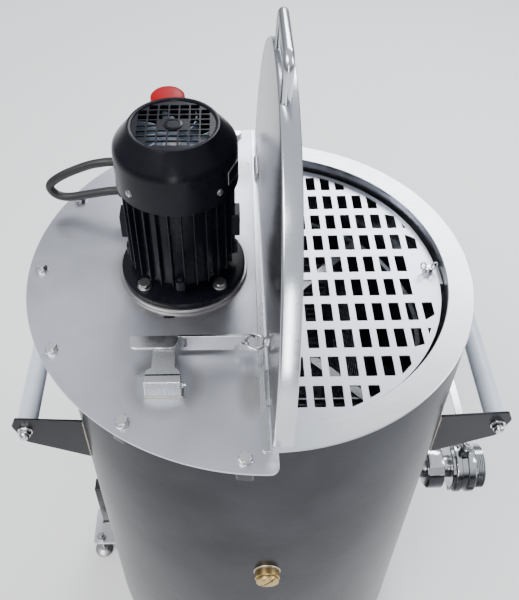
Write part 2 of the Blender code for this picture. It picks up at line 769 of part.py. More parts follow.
def build_motor():
    ring = [(0.055, COVER_TOP + GAP), (0.083, COVER_TOP + GAP), (0.083, 0.011), (0.055, 0.011)]
    piece("motor_spacer", on_motor(lathe_mesh(ring, 36)))
    flange = [(SHAFT_R + 0.0005, 0.0113), (MOTOR_FLANGE_R, 0.0113), (MOTOR_FLANGE_R, 0.0175)]
    flange += [(MOTOR_FLANGE_R - 0.004, 0.0195), (SHAFT_R + 0.0005, 0.0195)]
    piece("motor_flange", on_motor(lathe_mesh(flange, 36)))
    outline = []
    pitch = 360.0 / MOTOR_FINS
    tooth = (MOTOR_CORE_R, MOTOR_FIN_R, MOTOR_FIN_R, MOTOR_CORE_R)
    for fin in range(MOTOR_FINS):
        for part, radius in zip((-0.28, -0.14, 0.14, 0.28), tooth):
            outline += arc(radius, pitch * (fin + part), pitch * (fin + part), 1)[:1]
    frame = prism_mesh(outline, 0.0198, FRAME_TOP)
    room_top = FRAME_TOP - 0.008
    room = [(0.0, 0.0), (MOTOR_BORE_R, 0.0), (MOTOR_BORE_R, room_top), (0.0, room_top)]
    shaft_hole = cylinder(SHAFT_R + 0.0005, room_top - 0.01, FRAME_TOP + 0.01, 16)
    piece(
        "motor_frame",
        on_motor(frame),
        cut=[on_motor(lathe_mesh(room, 28)), on_motor(shaft_hole)],
    )
    core = [(0.0455, 0.030), (0.0517, 0.030), (0.0517, 0.135), (0.0455, 0.135)]
    piece("motor_stator", on_motor(lathe_mesh(core, 28)))
    rotor = [(0.0, -0.064), (SHAFT_R, -0.064), (SHAFT_R, 0.030)]
    rotor += [(0.0435, 0.030), (0.0435, 0.135)]
    rotor += [(SHAFT_R, 0.135), (SHAFT_R, FAN_DISC + 0.024), (0.0, FAN_DISC + 0.024)]
    piece("motor_rotor", on_motor(lathe_mesh(rotor, 24)), pivot=(MOTOR_X, 0.0, RIM_Z))
    disc = [(SHAFT_R + GAP, FAN_DISC), (0.055, FAN_DISC), (0.055, FAN_DISC + 0.002)]
    disc += [(0.016, FAN_DISC + 0.002), (0.014, FAN_DISC + 0.020), (SHAFT_R + GAP, FAN_DISC + 0.020)]
    blades = []
    for blade in range(7):
        vane = box_mesh((0.0125, 0.058), (-0.001, 0.001), (FAN_DISC + 0.0012, FAN_DISC + 0.031))
        blades.append(on_motor(turned(vane, "Z", blade * 360.0 / 7)))
    piece("cooling_fan", on_motor(lathe_mesh(disc, 24)), add=blades, pivot=(MOTOR_X, 0.0, RIM_Z))
    cowl = [
        (COWL_R, COWL_BOTTOM),
        (COWL_R, 0.206),
        (COWL_TOP_R, 0.230),
        (0.0, 0.230),
        (0.0, 0.2284),
        (COWL_TOP_R - 0.0008, 0.2284),
        (COWL_R - 0.0015, 0.2055),
        (COWL_R - 0.0015, COWL_BOTTOM),
    ]
    half_x, half_y = GRID_HOLE[0] / 2.0, GRID_HOLE[1] / 2.0
    grid = []
    for column in range(7):
        for row in range(8):
            x = (column - 3.0) * GRID_PITCH[0]
            y = (row - 3.5) * GRID_PITCH[1]
            far = math.hypot(abs(x) + half_x, abs(y) + half_y)
            if GRID_INNER_R < math.hypot(x, y) and far < COWL_TOP_R - 0.003:
                hole = box_mesh((x - half_x, x + half_x), (y - half_y, y + half_y), (0.22, 0.24))
                grid.append(on_motor(hole))
    piece("fan_cowl", on_motor(lathe_mesh(cowl, 36)), cut=[joined(grid)])
    box = box_mesh((-0.146, -0.057), (0.0690, 0.128), (rim(0.022), rim(0.078)))
    room = box_mesh((-0.143, -0.060), (0.0720, 0.125), (rim(0.025), rim(0.075)))
    mouth = moved(along_x(cylinder(0.0072, -0.16, -0.13, 16)), 0.0, GLAND_Y, rim(LOWER_GLAND_Z))
    piece("terminal_box", box, cut=[room, mouth])
    box = box_mesh((-0.158, -0.078), (0.0800, 0.140), (rim(0.084), rim(SWITCH_TOP)))
    collar = moved(cylinder(0.015, rim(SWITCH_TOP - 0.004), rim(SWITCH_TOP + 0.0135), 20), ESTOP_X, ESTOP_Y)
    room = box_mesh((-0.1555, -0.0805), (0.0825, 0.1375), (rim(0.0865), rim(SWITCH_TOP - 0.0025)))
    bore = moved(cylinder(0.0085, rim(0.14), rim(0.19), 16), ESTOP_X, ESTOP_Y)
    mouth = moved(along_x(cylinder(0.0072, -0.17, -0.15, 16)), 0.0, GLAND_Y, rim(UPPER_GLAND_Z))
    piece("switch_box", box, add=[collar], cut=[room, bore, mouth])
    button = lathe_mesh(
        [
            (0.0, rim(0.140)),
            (0.008, rim(0.140)),
            (0.008, rim(BUTTON_UNDER)),
            (0.020, rim(BUTTON_UNDER)),
            (0.022, rim(BUTTON_UNDER + 0.003)),
            (0.0212, rim(BUTTON_UNDER + 0.0155)),
            (0.015, rim(BUTTON_UNDER + 0.0195)),
            (0.0, rim(BUTTON_UNDER + 0.020)),
        ],
        24,
    )
    place = (ESTOP_X, ESTOP_Y, rim(BUTTON_UNDER))
    piece("estop_button", moved(button, ESTOP_X, ESTOP_Y), pivot=place)
    for name, wall, end, height in (
        ("cable_gland_upper", -0.158, -0.194, UPPER_GLAND_Z),
        ("cable_gland_lower", -0.146, -0.194, LOWER_GLAND_Z),
    ):
        gland = [
            (0.0, end),
            (0.008, end),
            (0.010, end + 0.004),
            (0.010, end + 0.014),
            (0.0125, end + 0.014),
            (0.0125, wall - GAP),
            (0.0068, wall - GAP),
            (0.0068, wall + 0.010),
            (0.0, wall + 0.010),
        ]
        piece(name, moved(along_x(lathe_mesh(gland, 16)), 0.0, GLAND_Y, rim(height)))


def on_motor(mesh):
    return moved(mesh, MOTOR_X, 0.0, RIM_Z)


def smooth_route(points, steps):
    """A Catmull-Rom curve through the points, with equal numbers of steps between them."""
    points = [Vector(point) for point in points]
    ends = [2.0 * points[0] - points[1], *points, 2.0 * points[-1] - points[-2]]
    route = []
    for index in range(1, len(ends) - 2):
        before, start, end, after = ends[index - 1 : index + 3]
        for step in range(steps):
            t = step / steps
            route.append(
                0.5
                * (
                    2.0 * start
                    + (end - before) * t
                    + (2.0 * before - 5.0 * start + 4.0 * end - after) * t**2
                    + (3.0 * start - before - 3.0 * end + after) * t**3
                )
            )
    route.append(points[-1])
    return route


def build_cable():
    through = [(x, GLAND_Y + deeper, rim(height)) for x, height, deeper in CABLE_ROUTE]
    route = smooth_route(through, 2)
    data = bpy.data.curves.new("motor_cable", "CURVE")
    data.dimensions = "3D"
    data.bevel_depth = CABLE_R
    data.bevel_resolution = 2
    data.use_fill_caps = True
    spline = data.splines.new("POLY")
    spline.points.add(len(route) - 1)
    for point, place in zip(spline.points, route):
        point.co = (*place, 1.0)
    made = bpy.data.objects.new("motor_cable", data)
    data.materials.append(material("motor_cable", *finish("motor_cable")))
    bpy.context.scene.collection.objects.link(made)


def belt_outline(small, large, steps):
    """The loop round a small circle at the motor and a large one at the drum axis."""
    lean = math.degrees(math.acos((large - small) / abs(MOTOR_X)))
    points = arc(large, -(180.0 - lean), 180.0 - lean, steps)
    points += arc(small, 180.0 - lean, 180.0 + lean, steps, (MOTOR_X, 0.0))
    return points


def build_drive():
    centre = (MOTOR_X, 0.0, PULLEY_TOP)
    bored = [(SHAFT_R + GAP, PULLEY_BOTTOM), (DRIVE_PULLEY_R, PULLEY_BOTTOM)]
    bored += [(DRIVE_PULLEY_R, PULLEY_TOP), (SHAFT_R + GAP, PULLEY_TOP)]
    piece("drive_pulley", moved(lathe_mesh(bored, 28), MOTOR_X), pivot=centre)
    wheel = [(MAIN_SHAFT_R + GAP, PULLEY_BOTTOM), (DRIVEN_PULLEY_R, PULLEY_BOTTOM)]
    wheel += [(DRIVEN_PULLEY_R, PULLEY_TOP), (MAIN_SHAFT_R + GAP, PULLEY_TOP)]
    piece("driven_pulley", lathe_mesh(wheel, 40))
    inner = belt_outline(DRIVE_PULLEY_R + 0.0005, DRIVEN_PULLEY_R + 0.0005, 20)
    outer = belt_outline(
        DRIVE_PULLEY_R + 0.0005 + BELT_THICKNESS, DRIVEN_PULLEY_R + 0.0005 + BELT_THICKNESS, 20
    )
    piece("drive_belt", prism_mesh(outer, PULLEY_BOTTOM + 0.003, PULLEY_TOP - 0.003, inner=inner))
    piece("main_shaft", cylinder(MAIN_SHAFT_R, 0.2655, PULLEY_TOP + 0.006, 14))
    bar = box_mesh((-0.020, 0.020), (-0.2415, 0.2415), (rim(-0.085), rim(-0.079)))
    boss = cylinder(0.025, rim(-0.080), rim(-0.066), 24)
    tabs = []
    for side in (-0.2394, 0.2394):
        tabs.append(box_mesh((-0.020, 0.020), (side - 0.002, side + 0.002), (rim(-0.112), rim(-0.0845))))
    bore = cylinder(MAIN_SHAFT_R + 0.0005, rim(-0.1), rim(-0.05), 20)
    piece("crossbar", bar, add=[boss, *tabs], cut=[bore])


def build_cage():
    thick = 0.006
    half = 0.1350
    square = [(half, half), (-half, half), (-half, -half), (half, -half)]
    inside = [(x * (1.0 - 0.002 / half), y * (1.0 - 0.002 / half)) for x, y in square]
    parts = []
    for low in (CAGE_BOTTOM, CAGE_TOP - thick):
        ring = [(CAGE_R - 0.006, low), (CAGE_R, low), (CAGE_R, low + thick), (CAGE_R - 0.006, low + thick)]
        parts.append(lathe_mesh(ring, 32))
        for angle in (45.0, 135.0):
            reach = CAGE_R - 0.003
            bar = box_mesh((-reach, reach), (-0.006, 0.006), (low + 0.0005, low + thick - 0.0005))
            parts.append(turned(bar, "Z", angle))
    for angle in (45.0, 135.0, 225.0, 315.0):
        corner_r = half * math.sqrt(2.0)
        ends = (CAGE_BOTTOM + 0.001, CAGE_TOP - 0.001)
        post = box_mesh((corner_r - 0.005, corner_r + 0.003), (-0.004, 0.004), ends)
        parts.append(turned(post, "Z", angle))
        post = moved(cylinder(0.0024, CAGE_BOTTOM + 0.0013, CAGE_TOP - 0.0013, 8), CAGE_R - 0.0031)
        parts.append(turned(post, "Z", angle))
    windows = []
    for middle in (-0.0595, 0.0595):
        for row in range(2):
            low = CAGE_BOTTOM + 0.018 + row * 0.178
            sides = (middle - 0.0545, middle + 0.0545)
            windows.append(box_mesh(sides, (-0.2, -0.1), (low, low + 0.168)))
            windows.append(box_mesh(sides, (0.1, 0.2), (low, low + 0.168)))
            windows.append(box_mesh((-0.2, -0.1), sides, (low, low + 0.168)))
            windows.append(box_mesh((0.1, 0.2), sides, (low, low + 0.168)))
    bore = cylinder(MAIN_SHAFT_R + GAP, 0.28, 0.70, 14)
    hub = cylinder(0.014, CAGE_BOTTOM - 0.006, CAGE_TOP + 0.006, 14)
    piece(
        "frame_cage",
        prism_mesh(square, CAGE_BOTTOM + 0.002, CAGE_TOP - 0.002, inner=inside),
        add=[*parts, hub],
        cut=[joined(windows), bore],
    )


build_drum()
build_cover()
build_lid()
build_stay()
build_grille()
build_handles()
build_outlet()
build_motor()
build_cable()
build_drive()
build_cage()
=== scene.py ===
"""Honey extractor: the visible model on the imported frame. Metres, +Z up, the drum axis is Z."""

import math

import bmesh
import bpy
from mathutils import Matrix, Vector


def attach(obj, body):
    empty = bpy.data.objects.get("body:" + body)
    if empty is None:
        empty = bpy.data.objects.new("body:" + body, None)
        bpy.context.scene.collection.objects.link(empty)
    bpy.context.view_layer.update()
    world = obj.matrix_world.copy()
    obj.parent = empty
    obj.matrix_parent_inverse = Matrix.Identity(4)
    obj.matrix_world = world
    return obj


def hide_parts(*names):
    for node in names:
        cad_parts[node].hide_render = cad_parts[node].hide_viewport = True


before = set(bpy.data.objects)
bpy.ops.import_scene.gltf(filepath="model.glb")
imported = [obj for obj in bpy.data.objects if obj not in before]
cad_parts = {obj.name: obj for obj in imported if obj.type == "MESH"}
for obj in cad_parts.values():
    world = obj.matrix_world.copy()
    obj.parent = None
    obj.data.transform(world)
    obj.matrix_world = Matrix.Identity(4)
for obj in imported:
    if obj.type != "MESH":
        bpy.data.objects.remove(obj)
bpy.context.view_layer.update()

RIM = 0.786
MOTOR_X = -0.1015
OUTLET_Z = RIM - 0.523
PLUG_Z = RIM - 0.313
HINGE = (0.001, 0.0, RIM + 0.0135)
LID_OPEN = 88.2
SHARP_ANGLE = math.radians(34.0)

COVER_R = 0.305
BOLT_CIRCLE = 0.289
BOLT_HOLE_R = 0.0044
BOLT_ANGLES = (180.0, 152.0, -152.0, 124.0, -124.0, 95.5, -95.5)
LUG_ANGLES = (180.0, 60.0, -60.0)
FOOT = (0.309, 0.025)
BRACKET_Y = 0.121
GRIP_X = 0.33
GRIP_Z = RIM - 0.193
BALL_X = 0.3725
BUTTON = (-0.1155, 0.11)
GRILLE_R = 0.237
WING = (0.2245, 0.0055)

# In the lid's own frame, with the lid closed: x from the hinge, z up from the lid's top.
HINGE_Y = 0.2
BOW_HALF = 0.052
BOW_Z = -0.0072
EYE_X = 0.0115
EYE_Y = -0.145
EYE_OUT = 0.0142
EYE_R = 0.01075


def rim(height):
    return RIM + height


# ---------------------------------------------------------------- camera and cable


def make_camera():
    data = bpy.data.cameras.new("camera")
    data.lens = 44.81
    data.sensor_width = 36.0
    data.shift_x = 0.0467
    data.shift_y = -0.0371
    data.clip_end = 60.0
    camera = bpy.data.objects.new("camera", data)
    bpy.context.scene.collection.objects.link(camera)
    turn = Matrix.Rotation(math.radians(-0.115), 4, "Z")
    turn = turn @ Matrix.Rotation(math.radians(90.0 - 46.287), 4, "X")
    turn = turn @ Matrix.Rotation(math.radians(-0.704), 4, "Z")
    camera.matrix_world = Matrix.Translation((-0.0407, -0.6921, 0.7063 + RIM)) @ turn
    bpy.context.scene.camera = camera


make_camera()

# ---------------------------------------------------------------- materials


def shader_of(name):
    made = bpy.data.materials.new(name)
    made.use_nodes = True
    return made, made.node_tree, made.node_tree.nodes["Principled BSDF"]


def fill(tree, node, **inputs):
    """Sets each input of a node to a value, or links it to another node's output."""
    for name, value in inputs.items():
        socket = node.inputs[name.replace("_", " ")]
        if isinstance(value, bpy.types.NodeSocket):
            tree.links.new(value, socket)
        else:
            socket.default_value = value
    return node


def add_node(tree, kind, **inputs):
    return fill(tree, tree.nodes.new("ShaderNode" + kind), **inputs)


def vector_math(tree, operation, first, second=None):
    node = tree.nodes.new("ShaderNodeVectorMath")
    node.operation = operation
    tree.links.new(first, node.inputs[0])
    if second:
        node.inputs[1].default_value = second
    return node


def noise(tree, scale, stretch=(1.0, 1.0, 1.0), detail=4.0, rough=0.5):
    coords = add_node(tree, "TexCoord")
    mapping = add_node(tree, "Mapping", Vector=coords.outputs["Object"], Scale=stretch)
    place = mapping.outputs["Vector"]
    texture = add_node(tree, "TexNoise", Vector=place, Scale=scale, Detail=detail, Roughness=rough)
    return texture.outputs["Fac"]


def ranged(tree, value, low, high, out_low, out_high):
    limits = {"From_Min": low, "From_Max": high, "To_Min": out_low, "To_Max": out_high}
    return add_node(tree, "MapRange", Value=value, **limits).outputs["Result"]


def mixed(tree, factor, first, second):
    """A colour between two, where each is a plain colour or another node's output."""
    node = tree.nodes.new("ShaderNodeMix")
    node.data_type = "RGBA"
    if isinstance(factor, float):
        node.inputs[0].default_value = factor
    else:
        tree.links.new(factor, node.inputs[0])
    for index, colour in ((6, first), (7, second)):
        if isinstance(colour, tuple):
            node.inputs[index].default_value = (*colour, 1.0)
        else:
            tree.links.new(colour, node.inputs[index])
    return node.outputs[2]


def bump(tree, shader, height, strength, distance):
    node = add_node(tree, "Bump", Height=height, Strength=strength, Distance=distance)
    fill(tree, shader, Normal=node.outputs["Normal"])


def near(tree, point, radius, soft):
    """1 at the point, falling to 0 past the radius; a squeezed point gives an oval."""
    coords = add_node(tree, "TexCoord")
    squeeze = point[3] if len(point) > 3 else (1.0, 1.0, 1.0)
    away = vector_math(tree, "SUBTRACT", coords.outputs["Object"], point[:3])
    scaled = vector_math(tree, "MULTIPLY", away.outputs[0], squeeze)
    length = vector_math(tree, "LENGTH", scaled.outputs[0])
    return ranged(tree, length.outputs["Value"], radius - soft, radius + soft, 1.0, 0.0)


def facing(tree, direction, limits):
    """1 where the piece's own surface normal points this way, and 0 elsewhere."""
    coords = add_node(tree, "TexCoord")
    dot = vector_math(tree, "DOT_PRODUCT", coords.outputs["Normal"], direction)
    return ranged(tree, dot.outputs["Value"], limits[0], limits[1], 0.0, 1.0)


def metal(
    name, base, roughness, grain=(1.0, 1.0, 60.0), blotch=0.12, tints=(), depth=0.00004, spread=0.08,
    scale=60.0, side=None, metallic=1.0, shine=0.5,
):
    """Brushed metal: fine stretched grain, soft blotches and handling marks, tinted patches (coloured heat
    marks, and painted shade where a tint stands for shade), and, where side is given, painted shade on the
    faces turned towards side[0].
    """
    made, tree, shader = shader_of(name)
    fill(tree, shader, Metallic=metallic, Specular_IOR_Level=shine)
    fine = noise(tree, scale, grain, 6.0, 0.65)
    soft = noise(tree, 7.0, (1.0, 1.0, 1.0), 3.0, 0.55)
    marks = noise(tree, 31.0, (1.0, 1.6, 0.7), 5.0, 0.7)
    dark = tuple(value * (1.0 - blotch) for value in base)
    light = tuple(min(1.0, value * (1.0 + blotch * 0.55)) for value in base)
    colour = mixed(tree, ranged(tree, soft, 0.35, 0.65, 0.0, 1.0), dark, light)
    colour = mixed(tree, ranged(tree, marks, 0.62, 0.78, 0.0, 0.35), colour, dark)
    # each tint is a soft patch of colour: a heat mark, or painted shade where the table says so
    for point, radius, softness, tint, strength in tints:
        area = ranged(tree, near(tree, point, radius, softness), 0.0, 1.0, 0.0, strength)
        colour = mixed(tree, area, colour, tint)
    # painted shade: faces whose normal points along side[0] are darkened towards side[1] and made less
    # metallic, standing in for dark reflections on them
    if side:
        painted_shade_share = facing(tree, side[0], side[3])
        colour = mixed(tree, painted_shade_share, colour, side[1])
        fill(tree, shader, Metallic=ranged(tree, painted_shade_share, 0.0, 1.0, metallic, side[2]))
    fill(tree, shader, Base_Color=colour)
    fill(tree, shader, Roughness=ranged(tree, fine, 0.3, 0.7, roughness - spread, roughness + spread))
    bump(tree, shader, fine, 0.35, depth)
    return made


def coated(
    name, base, roughness, metallic=0.0, coat=0.0, texture=420.0, depth=0.00012, wear=0.15, spread=0.06,
    shine=0.5,
):
    """Paint, plastic or rubber: a slight orange-peel or moulded texture and uneven tone."""
    made, tree, shader = shader_of(name)
    fill(tree, shader, Metallic=metallic, Specular_IOR_Level=shine)
    fill(tree, shader, Coat_Weight=coat, Coat_Roughness=0.12)
    fine = noise(tree, texture, (1.0, 1.0, 1.0), 3.0, 0.5)
    soft = noise(tree, 14.0, (1.0, 1.0, 1.0), 4.0, 0.6)
    dark = tuple(value * (1.0 - wear) for value in base)
    light = tuple(min(1.0, value * (1.0 + wear) + 0.004) for value in base)
    fill(tree, shader, Base_Color=mixed(tree, ranged(tree, soft, 0.3, 0.7, 0.0, 1.0), dark, light))
    fill(tree, shader, Roughness=ranged(tree, soft, 0.3, 0.7, roughness - spread, roughness + spread))
    bump(tree, shader, fine, 0.25, depth)
    return made


STEEL = (0.58, 0.585, 0.65)
# Tinted patches on the cover plate: heat marks round the rest bracket and by the hinge welds, and painted
# shade round the motor.
COVER_HEAT_TINTS_AND_SHADE = (
    ((-0.118, -0.19, RIM), 0.042, 0.008, (0.36, 0.35, 0.36), 0.75),
    ((-0.118, -0.19, RIM), 0.03, 0.006, (0.58, 0.62, 0.7), 0.85),
    # painted shade: a darker ring on the plate round the motor's foot, where the motor shades it
    ((MOTOR_X, 0.0, RIM), 0.092, 0.006, (0.4, 0.38, 0.37), 0.7),
    ((-0.02, 0.198, RIM, (1.0, 0.45, 1.0)), 0.014, 0.005, (0.36, 0.345, 0.34), 0.8),
    ((-0.02, -0.202, RIM, (1.0, 0.45, 1.0)), 0.014, 0.005, (0.36, 0.345, 0.34), 0.8),
)
M = {
    "plate": metal("plate_steel", STEEL, 0.36, (1.0, 26.0, 1.0), 0.13, COVER_HEAT_TINTS_AND_SHADE),
    "ring": metal("ring_steel", (0.62, 0.64, 0.66), 0.34, (1.0, 20.0, 1.0), 0.1),
    # painted reflection: the stainless drum gets a nearly black base colour, standing in for the dark
    # surroundings it reflects
    "drum": metal(
        "drum_steel_painted_dark", (0.05, 0.051, 0.057), 0.27, (1.0, 1.0, 42.0), 0.22, (), 0.00003, metallic=0.85,
        shine=0.2,
    ),
    "tank": metal("tank_steel", (0.42, 0.43, 0.45), 0.3, (1.0, 1.0, 30.0), 0.12),
    # painted shade: the lid's faces turned to -X, its open outer face, are darkened to near black and made
    # less metallic, standing in for the dark reflections on it
    "lid": metal(
        "lid_steel_painted_shade", (0.6, 0.62, 0.66), 0.2, (1.0, 1.0, 18.0), 0.08, (), 0.00001, 0.04, 60.0,
        ((-1.0, 0.0, 0.0), (0.13, 0.132, 0.145), 0.75, (0.8, 0.95)), 1.0, 0.1,
    ),
    "bar": metal("bar_steel", (0.6, 0.61, 0.63), 0.26, (30.0, 1.0, 1.0), 0.1),
    "bright": metal("bright_steel", (0.66, 0.67, 0.68), 0.17, (1.0, 1.0, 8.0), 0.1, (), 0.00002, 0.05),
    "dark": metal(
        "bracket_steel", (0.032, 0.032, 0.036), 0.24, (1.0, 1.0, 12.0), 0.2, (), 0.00002, 0.06,
        metallic=0.8, shine=0.15,
    ),
    # painted shade: faces turned down and to the front (0, -0.8, -0.6) are darkened to near black and made
    # less metallic, standing in for dark reflections on the valve's underside
    "valve": metal(
        "valve_steel_painted_shade", (0.66, 0.67, 0.69), 0.16, (1.0, 8.0, 1.0), 0.12, (), 0.00002, 0.05, 60.0,
        ((0.0, -0.8, -0.6), (0.035, 0.035, 0.042), 0.8, (0.12, 0.3)),
    ),
    "machined": metal("machined_steel", (0.42, 0.42, 0.43), 0.34, (1.0, 1.0, 40.0), 0.12),
    "weld": metal("weld_steel", (0.42, 0.38, 0.34), 0.42, (1.0, 1.0, 1.0), 0.3, (), 0.0003, 0.12, 300.0),
    "brass": metal("brass", (0.46, 0.33, 0.14), 0.38, (20.0, 1.0, 1.0), 0.2),
    "aluminium": metal("aluminium", (0.6, 0.61, 0.62), 0.36, (1.0, 1.0, 30.0), 0.1),
    "black": coated("motor_paint", (0.0022, 0.0025, 0.006), 0.27, 0.0, 0.0, shine=0.16),
    "box": coated("box_plastic", (0.01, 0.01, 0.012), 0.4, 0.0, 0.0, 600.0, shine=0.3),
    "red": coated("red_plastic", (0.33, 0.0006, 0.006), 0.36, 0.0, 0.0, shine=0.12),
    "fan": coated("fan_plastic", (0.42, 0.5, 0.62), 0.42),
    "white": coated("grip_plastic", (0.7, 0.77, 0.87), 0.3, 0.0, 0.15, 300.0, 0.0001, 0.035),
    "rubber": coated("cable_rubber", (0.016, 0.016, 0.018), 0.46, 0.0, 0.0, 500.0, 0.0002),
    "gasket": coated("gasket_rubber", (0.58, 0.58, 0.55), 0.6, 0.0, 0.0, 400.0),
    "label": coated("label_plate", (0.5, 0.52, 0.54), 0.35, 0.6),
}

# ---------------------------------------------------------------- mesh tools


def lathe(profile, steps):
    """A closed (radius, height) profile turned about Z; a radius of 0 becomes a pole."""
    mesh = bmesh.new()
    rings = []
    for radius, height in profile:
        if radius == 0.0:
            rings.append([mesh.verts.new((0.0, 0.0, height))])
            continue
        ring = []
        for step in range(steps):
            angle = 2.0 * math.pi * step / steps
            ring.append(mesh.verts.new((radius * math.cos(angle), radius * math.sin(angle), height)))
        rings.append(ring)
    for first, second in zip(rings, rings[1:] + rings[:1]):
        for step in range(steps):
            after = (step + 1) % steps
            corners = []
            for vert in (
                first[step % len(first)], first[after % len(first)], second[after % len(second)],
                second[step % len(second)],
            ):
                if vert not in corners:
                    corners.append(vert)
            if len(corners) > 2:
                mesh.faces.new(corners)
    bmesh.ops.recalc_face_normals(mesh, faces=mesh.faces)
    return mesh


def prism(outline, low, high, inner=None):
    mesh = bmesh.new()
    count = len(outline)
    loops = []
    for points in (outline, inner) if inner else (outline,):
        bottom = [mesh.verts.new((x, y, low)) for x, y in points]
        top = [mesh.verts.new((x, y, high)) for x, y in points]
        loops.append((bottom, top))
        for i in range(count):
            j = (i + 1) % count
            mesh.faces.new((bottom[i], bottom[j], top[j], top[i]))
    if inner:
        for level in (0, 1):
            outside, inside = loops[0][level], loops[1][level]
            for i in range(count):
                j = (i + 1) % count
                mesh.faces.new((outside[i], outside[j], inside[j], inside[i]))
    else:
        mesh.faces.new(loops[0][0])
        mesh.faces.new(loops[0][1])
    bmesh.ops.recalc_face_normals(mesh, faces=mesh.faces)
    return mesh


def box(x, y, z):
    return prism([(x[0], y[0]), (x[1], y[0]), (x[1], y[1]), (x[0], y[1])], z[0], z[1])


def tube(points, radius, sides=16, closed=False):
    """A round bar along a line; radius may be a number or one for each point."""
    mesh = bmesh.new()
    points = [Vector(point) for point in points]
    radii = radius if isinstance(radius, list) else [radius] * len(points)
    normal = (points[1] - points[0]).normalized().orthogonal().normalized()
    rings = []
    for index, point in enumerate(points):
        before = (point - points[index - 1]).normalized() if index or closed else None
        after = None
        if index + 1 < len(points) or closed:
            after = (points[(index + 1) % len(points)] - point).normalized()
        along = ((before or after) + (after or before)).normalized()
        normal = (normal - along * normal.dot(along)).normalized()
        side = along.cross(normal)
        ring = []
        for step in range(sides):
            angle = 2.0 * math.pi * step / sides
            ring.append(
                mesh.verts.new(point + radii[index] * (math.cos(angle) * normal + math.sin(angle) * side))
            )
        rings.append(ring)
    pairs = list(zip(rings, rings[1:]))
    if closed:
        pairs.append((rings[-1], rings[0]))
    for first, second in pairs:
        for step in range(sides):
            after = (step + 1) % sides
            mesh.faces.new((first[step], first[after], second[after], second[step]))
    if not closed:
        mesh.faces.new(rings[0])
        mesh.faces.new(rings[-1])
    bmesh.ops.recalc_face_normals(mesh, faces=mesh.faces)
    return mesh


def turned(mesh, axis, degrees, centre=(0.0, 0.0, 0.0)):
    bmesh.ops.rotate(
        mesh, cent=centre, matrix=Matrix.Rotation(math.radians(degrees), 3, axis), verts=mesh.verts
    )
    return mesh


def moved(mesh, x=0.0, y=0.0, z=0.0):
    bmesh.ops.translate(mesh, vec=(x, y, z), verts=mesh.verts)
    return mesh


def merged(*meshes):
    whole = bmesh.new()
    for mesh in meshes:
        data = bpy.data.meshes.new("part")
        mesh.to_mesh(data)
        mesh.free()
        whole.from_mesh(data)
        bpy.data.meshes.remove(data)
    return whole


def along_x(mesh):
    return turned(mesh, "Y", 90.0)


def along_y(mesh):
    return turned(mesh, "X", -90.0)


def on_motor(mesh):
    return moved(mesh, MOTOR_X, 0.0, RIM)


def on_outlet(mesh):
    return moved(along_x(mesh), z=OUTLET_Z)


def arc(radius, start, end, steps, centre=(0.0, 0.0)):
    points = []
    for step in range(steps + 1):
        angle = math.radians(start + (end - start) * step / steps)
        points.append((centre[0] + radius * math.cos(angle), centre[1] + radius * math.sin(angle)))
    return points


def round_line(step, place):
    """Points all the way round, where place makes each from its cosine and sine."""
    angles = [math.radians(angle) for angle in range(0, 360, step)]
    return [place(math.cos(angle), math.sin(angle)) for angle in angles]


def rounded(x, y, radius, steps=4):
    """A rectangle's outline with round corners."""
    points = []
    for cx, cy, start in (
        (x[1] - radius, y[0] + radius, -90.0), (x[1] - radius, y[1] - radius, 0.0),
        (x[0] + radius, y[1] - radius, 90.0), (x[0] + radius, y[0] + radius, 180.0),
    ):
        points += arc(radius, start, start + 90.0, steps, (cx, cy))
    return points


def make(name, mesh, look):
    data = bpy.data.meshes.new(name)
    mesh.to_mesh(data)
    mesh.free()
    made = bpy.data.objects.new(name, data)
    bpy.context.scene.collection.objects.link(made)
    data.shade_smooth()
    data.set_sharp_from_angle(angle=SHARP_ANGLE)
    if look:
        data.materials.append(M[look])
    return made


def put(name, mesh, look, body="base", node=None, bevel=0.0, cut=(), segments=2):
    """A visible piece on a body, standing for a CAD node where one is given."""
    made = make(name, mesh, look)
    for index, tool in enumerate(cut):
        helper = make(f"{name}_cut_{index}", tool, None)
        modifier = made.modifiers.new("cut", "BOOLEAN")
        modifier.operation = "DIFFERENCE"
        modifier.object = helper
        bpy.context.view_layer.update()
        graph = bpy.context.evaluated_depsgraph_get()
        whole = bpy.data.meshes.new_from_object(made.evaluated_get(graph))
        made.modifiers.clear()
        made.data = whole
        bpy.data.objects.remove(helper)
        whole.shade_smooth()
        whole.set_sharp_from_angle(angle=SHARP_ANGLE)
    if bevel:
        edge = made.modifiers.new("bevel", "BEVEL")
        edge.width = bevel
        edge.segments = segments
        edge.limit_method = "ANGLE"
        edge.angle_limit = math.radians(38.0)
        edge.use_clamp_overlap = True
        edge.harden_normals = True
    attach(made, body)
    if node:
        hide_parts(*([node] if isinstance(node, str) else node))
    return made


def hexagon(radius, low, high, chamfer=0.0008):
    """A hex head with its corners turned off at both ends."""
    mesh = bmesh.new()
    rows = []
    for height, shrink in (
        (low, chamfer), (low + chamfer * 0.6, 0.0), (high - chamfer * 0.8, 0.0), (high, chamfer * 1.6)
    ):
        row = []
        for step in range(24):
            angle = math.radians(15.0 * step)
            from_flat = math.radians((15.0 * step) % 60.0 - 30.0)
            reach = radius * math.cos(math.radians(30.0)) / math.cos(from_flat)
            reach = min(reach, radius - shrink)
            row.append(mesh.verts.new((reach * math.cos(angle), reach * math.sin(angle), height)))
        rows.append(row)
    for first, second in zip(rows, rows[1:]):
        for step in range(24):
            after = (step + 1) % 24
            mesh.faces.new((first[step], first[after], second[after], second[step]))
    mesh.faces.new(rows[0])
    mesh.faces.new(rows[-1])
    bmesh.ops.recalc_face_normals(mesh, faces=mesh.faces)
    return mesh


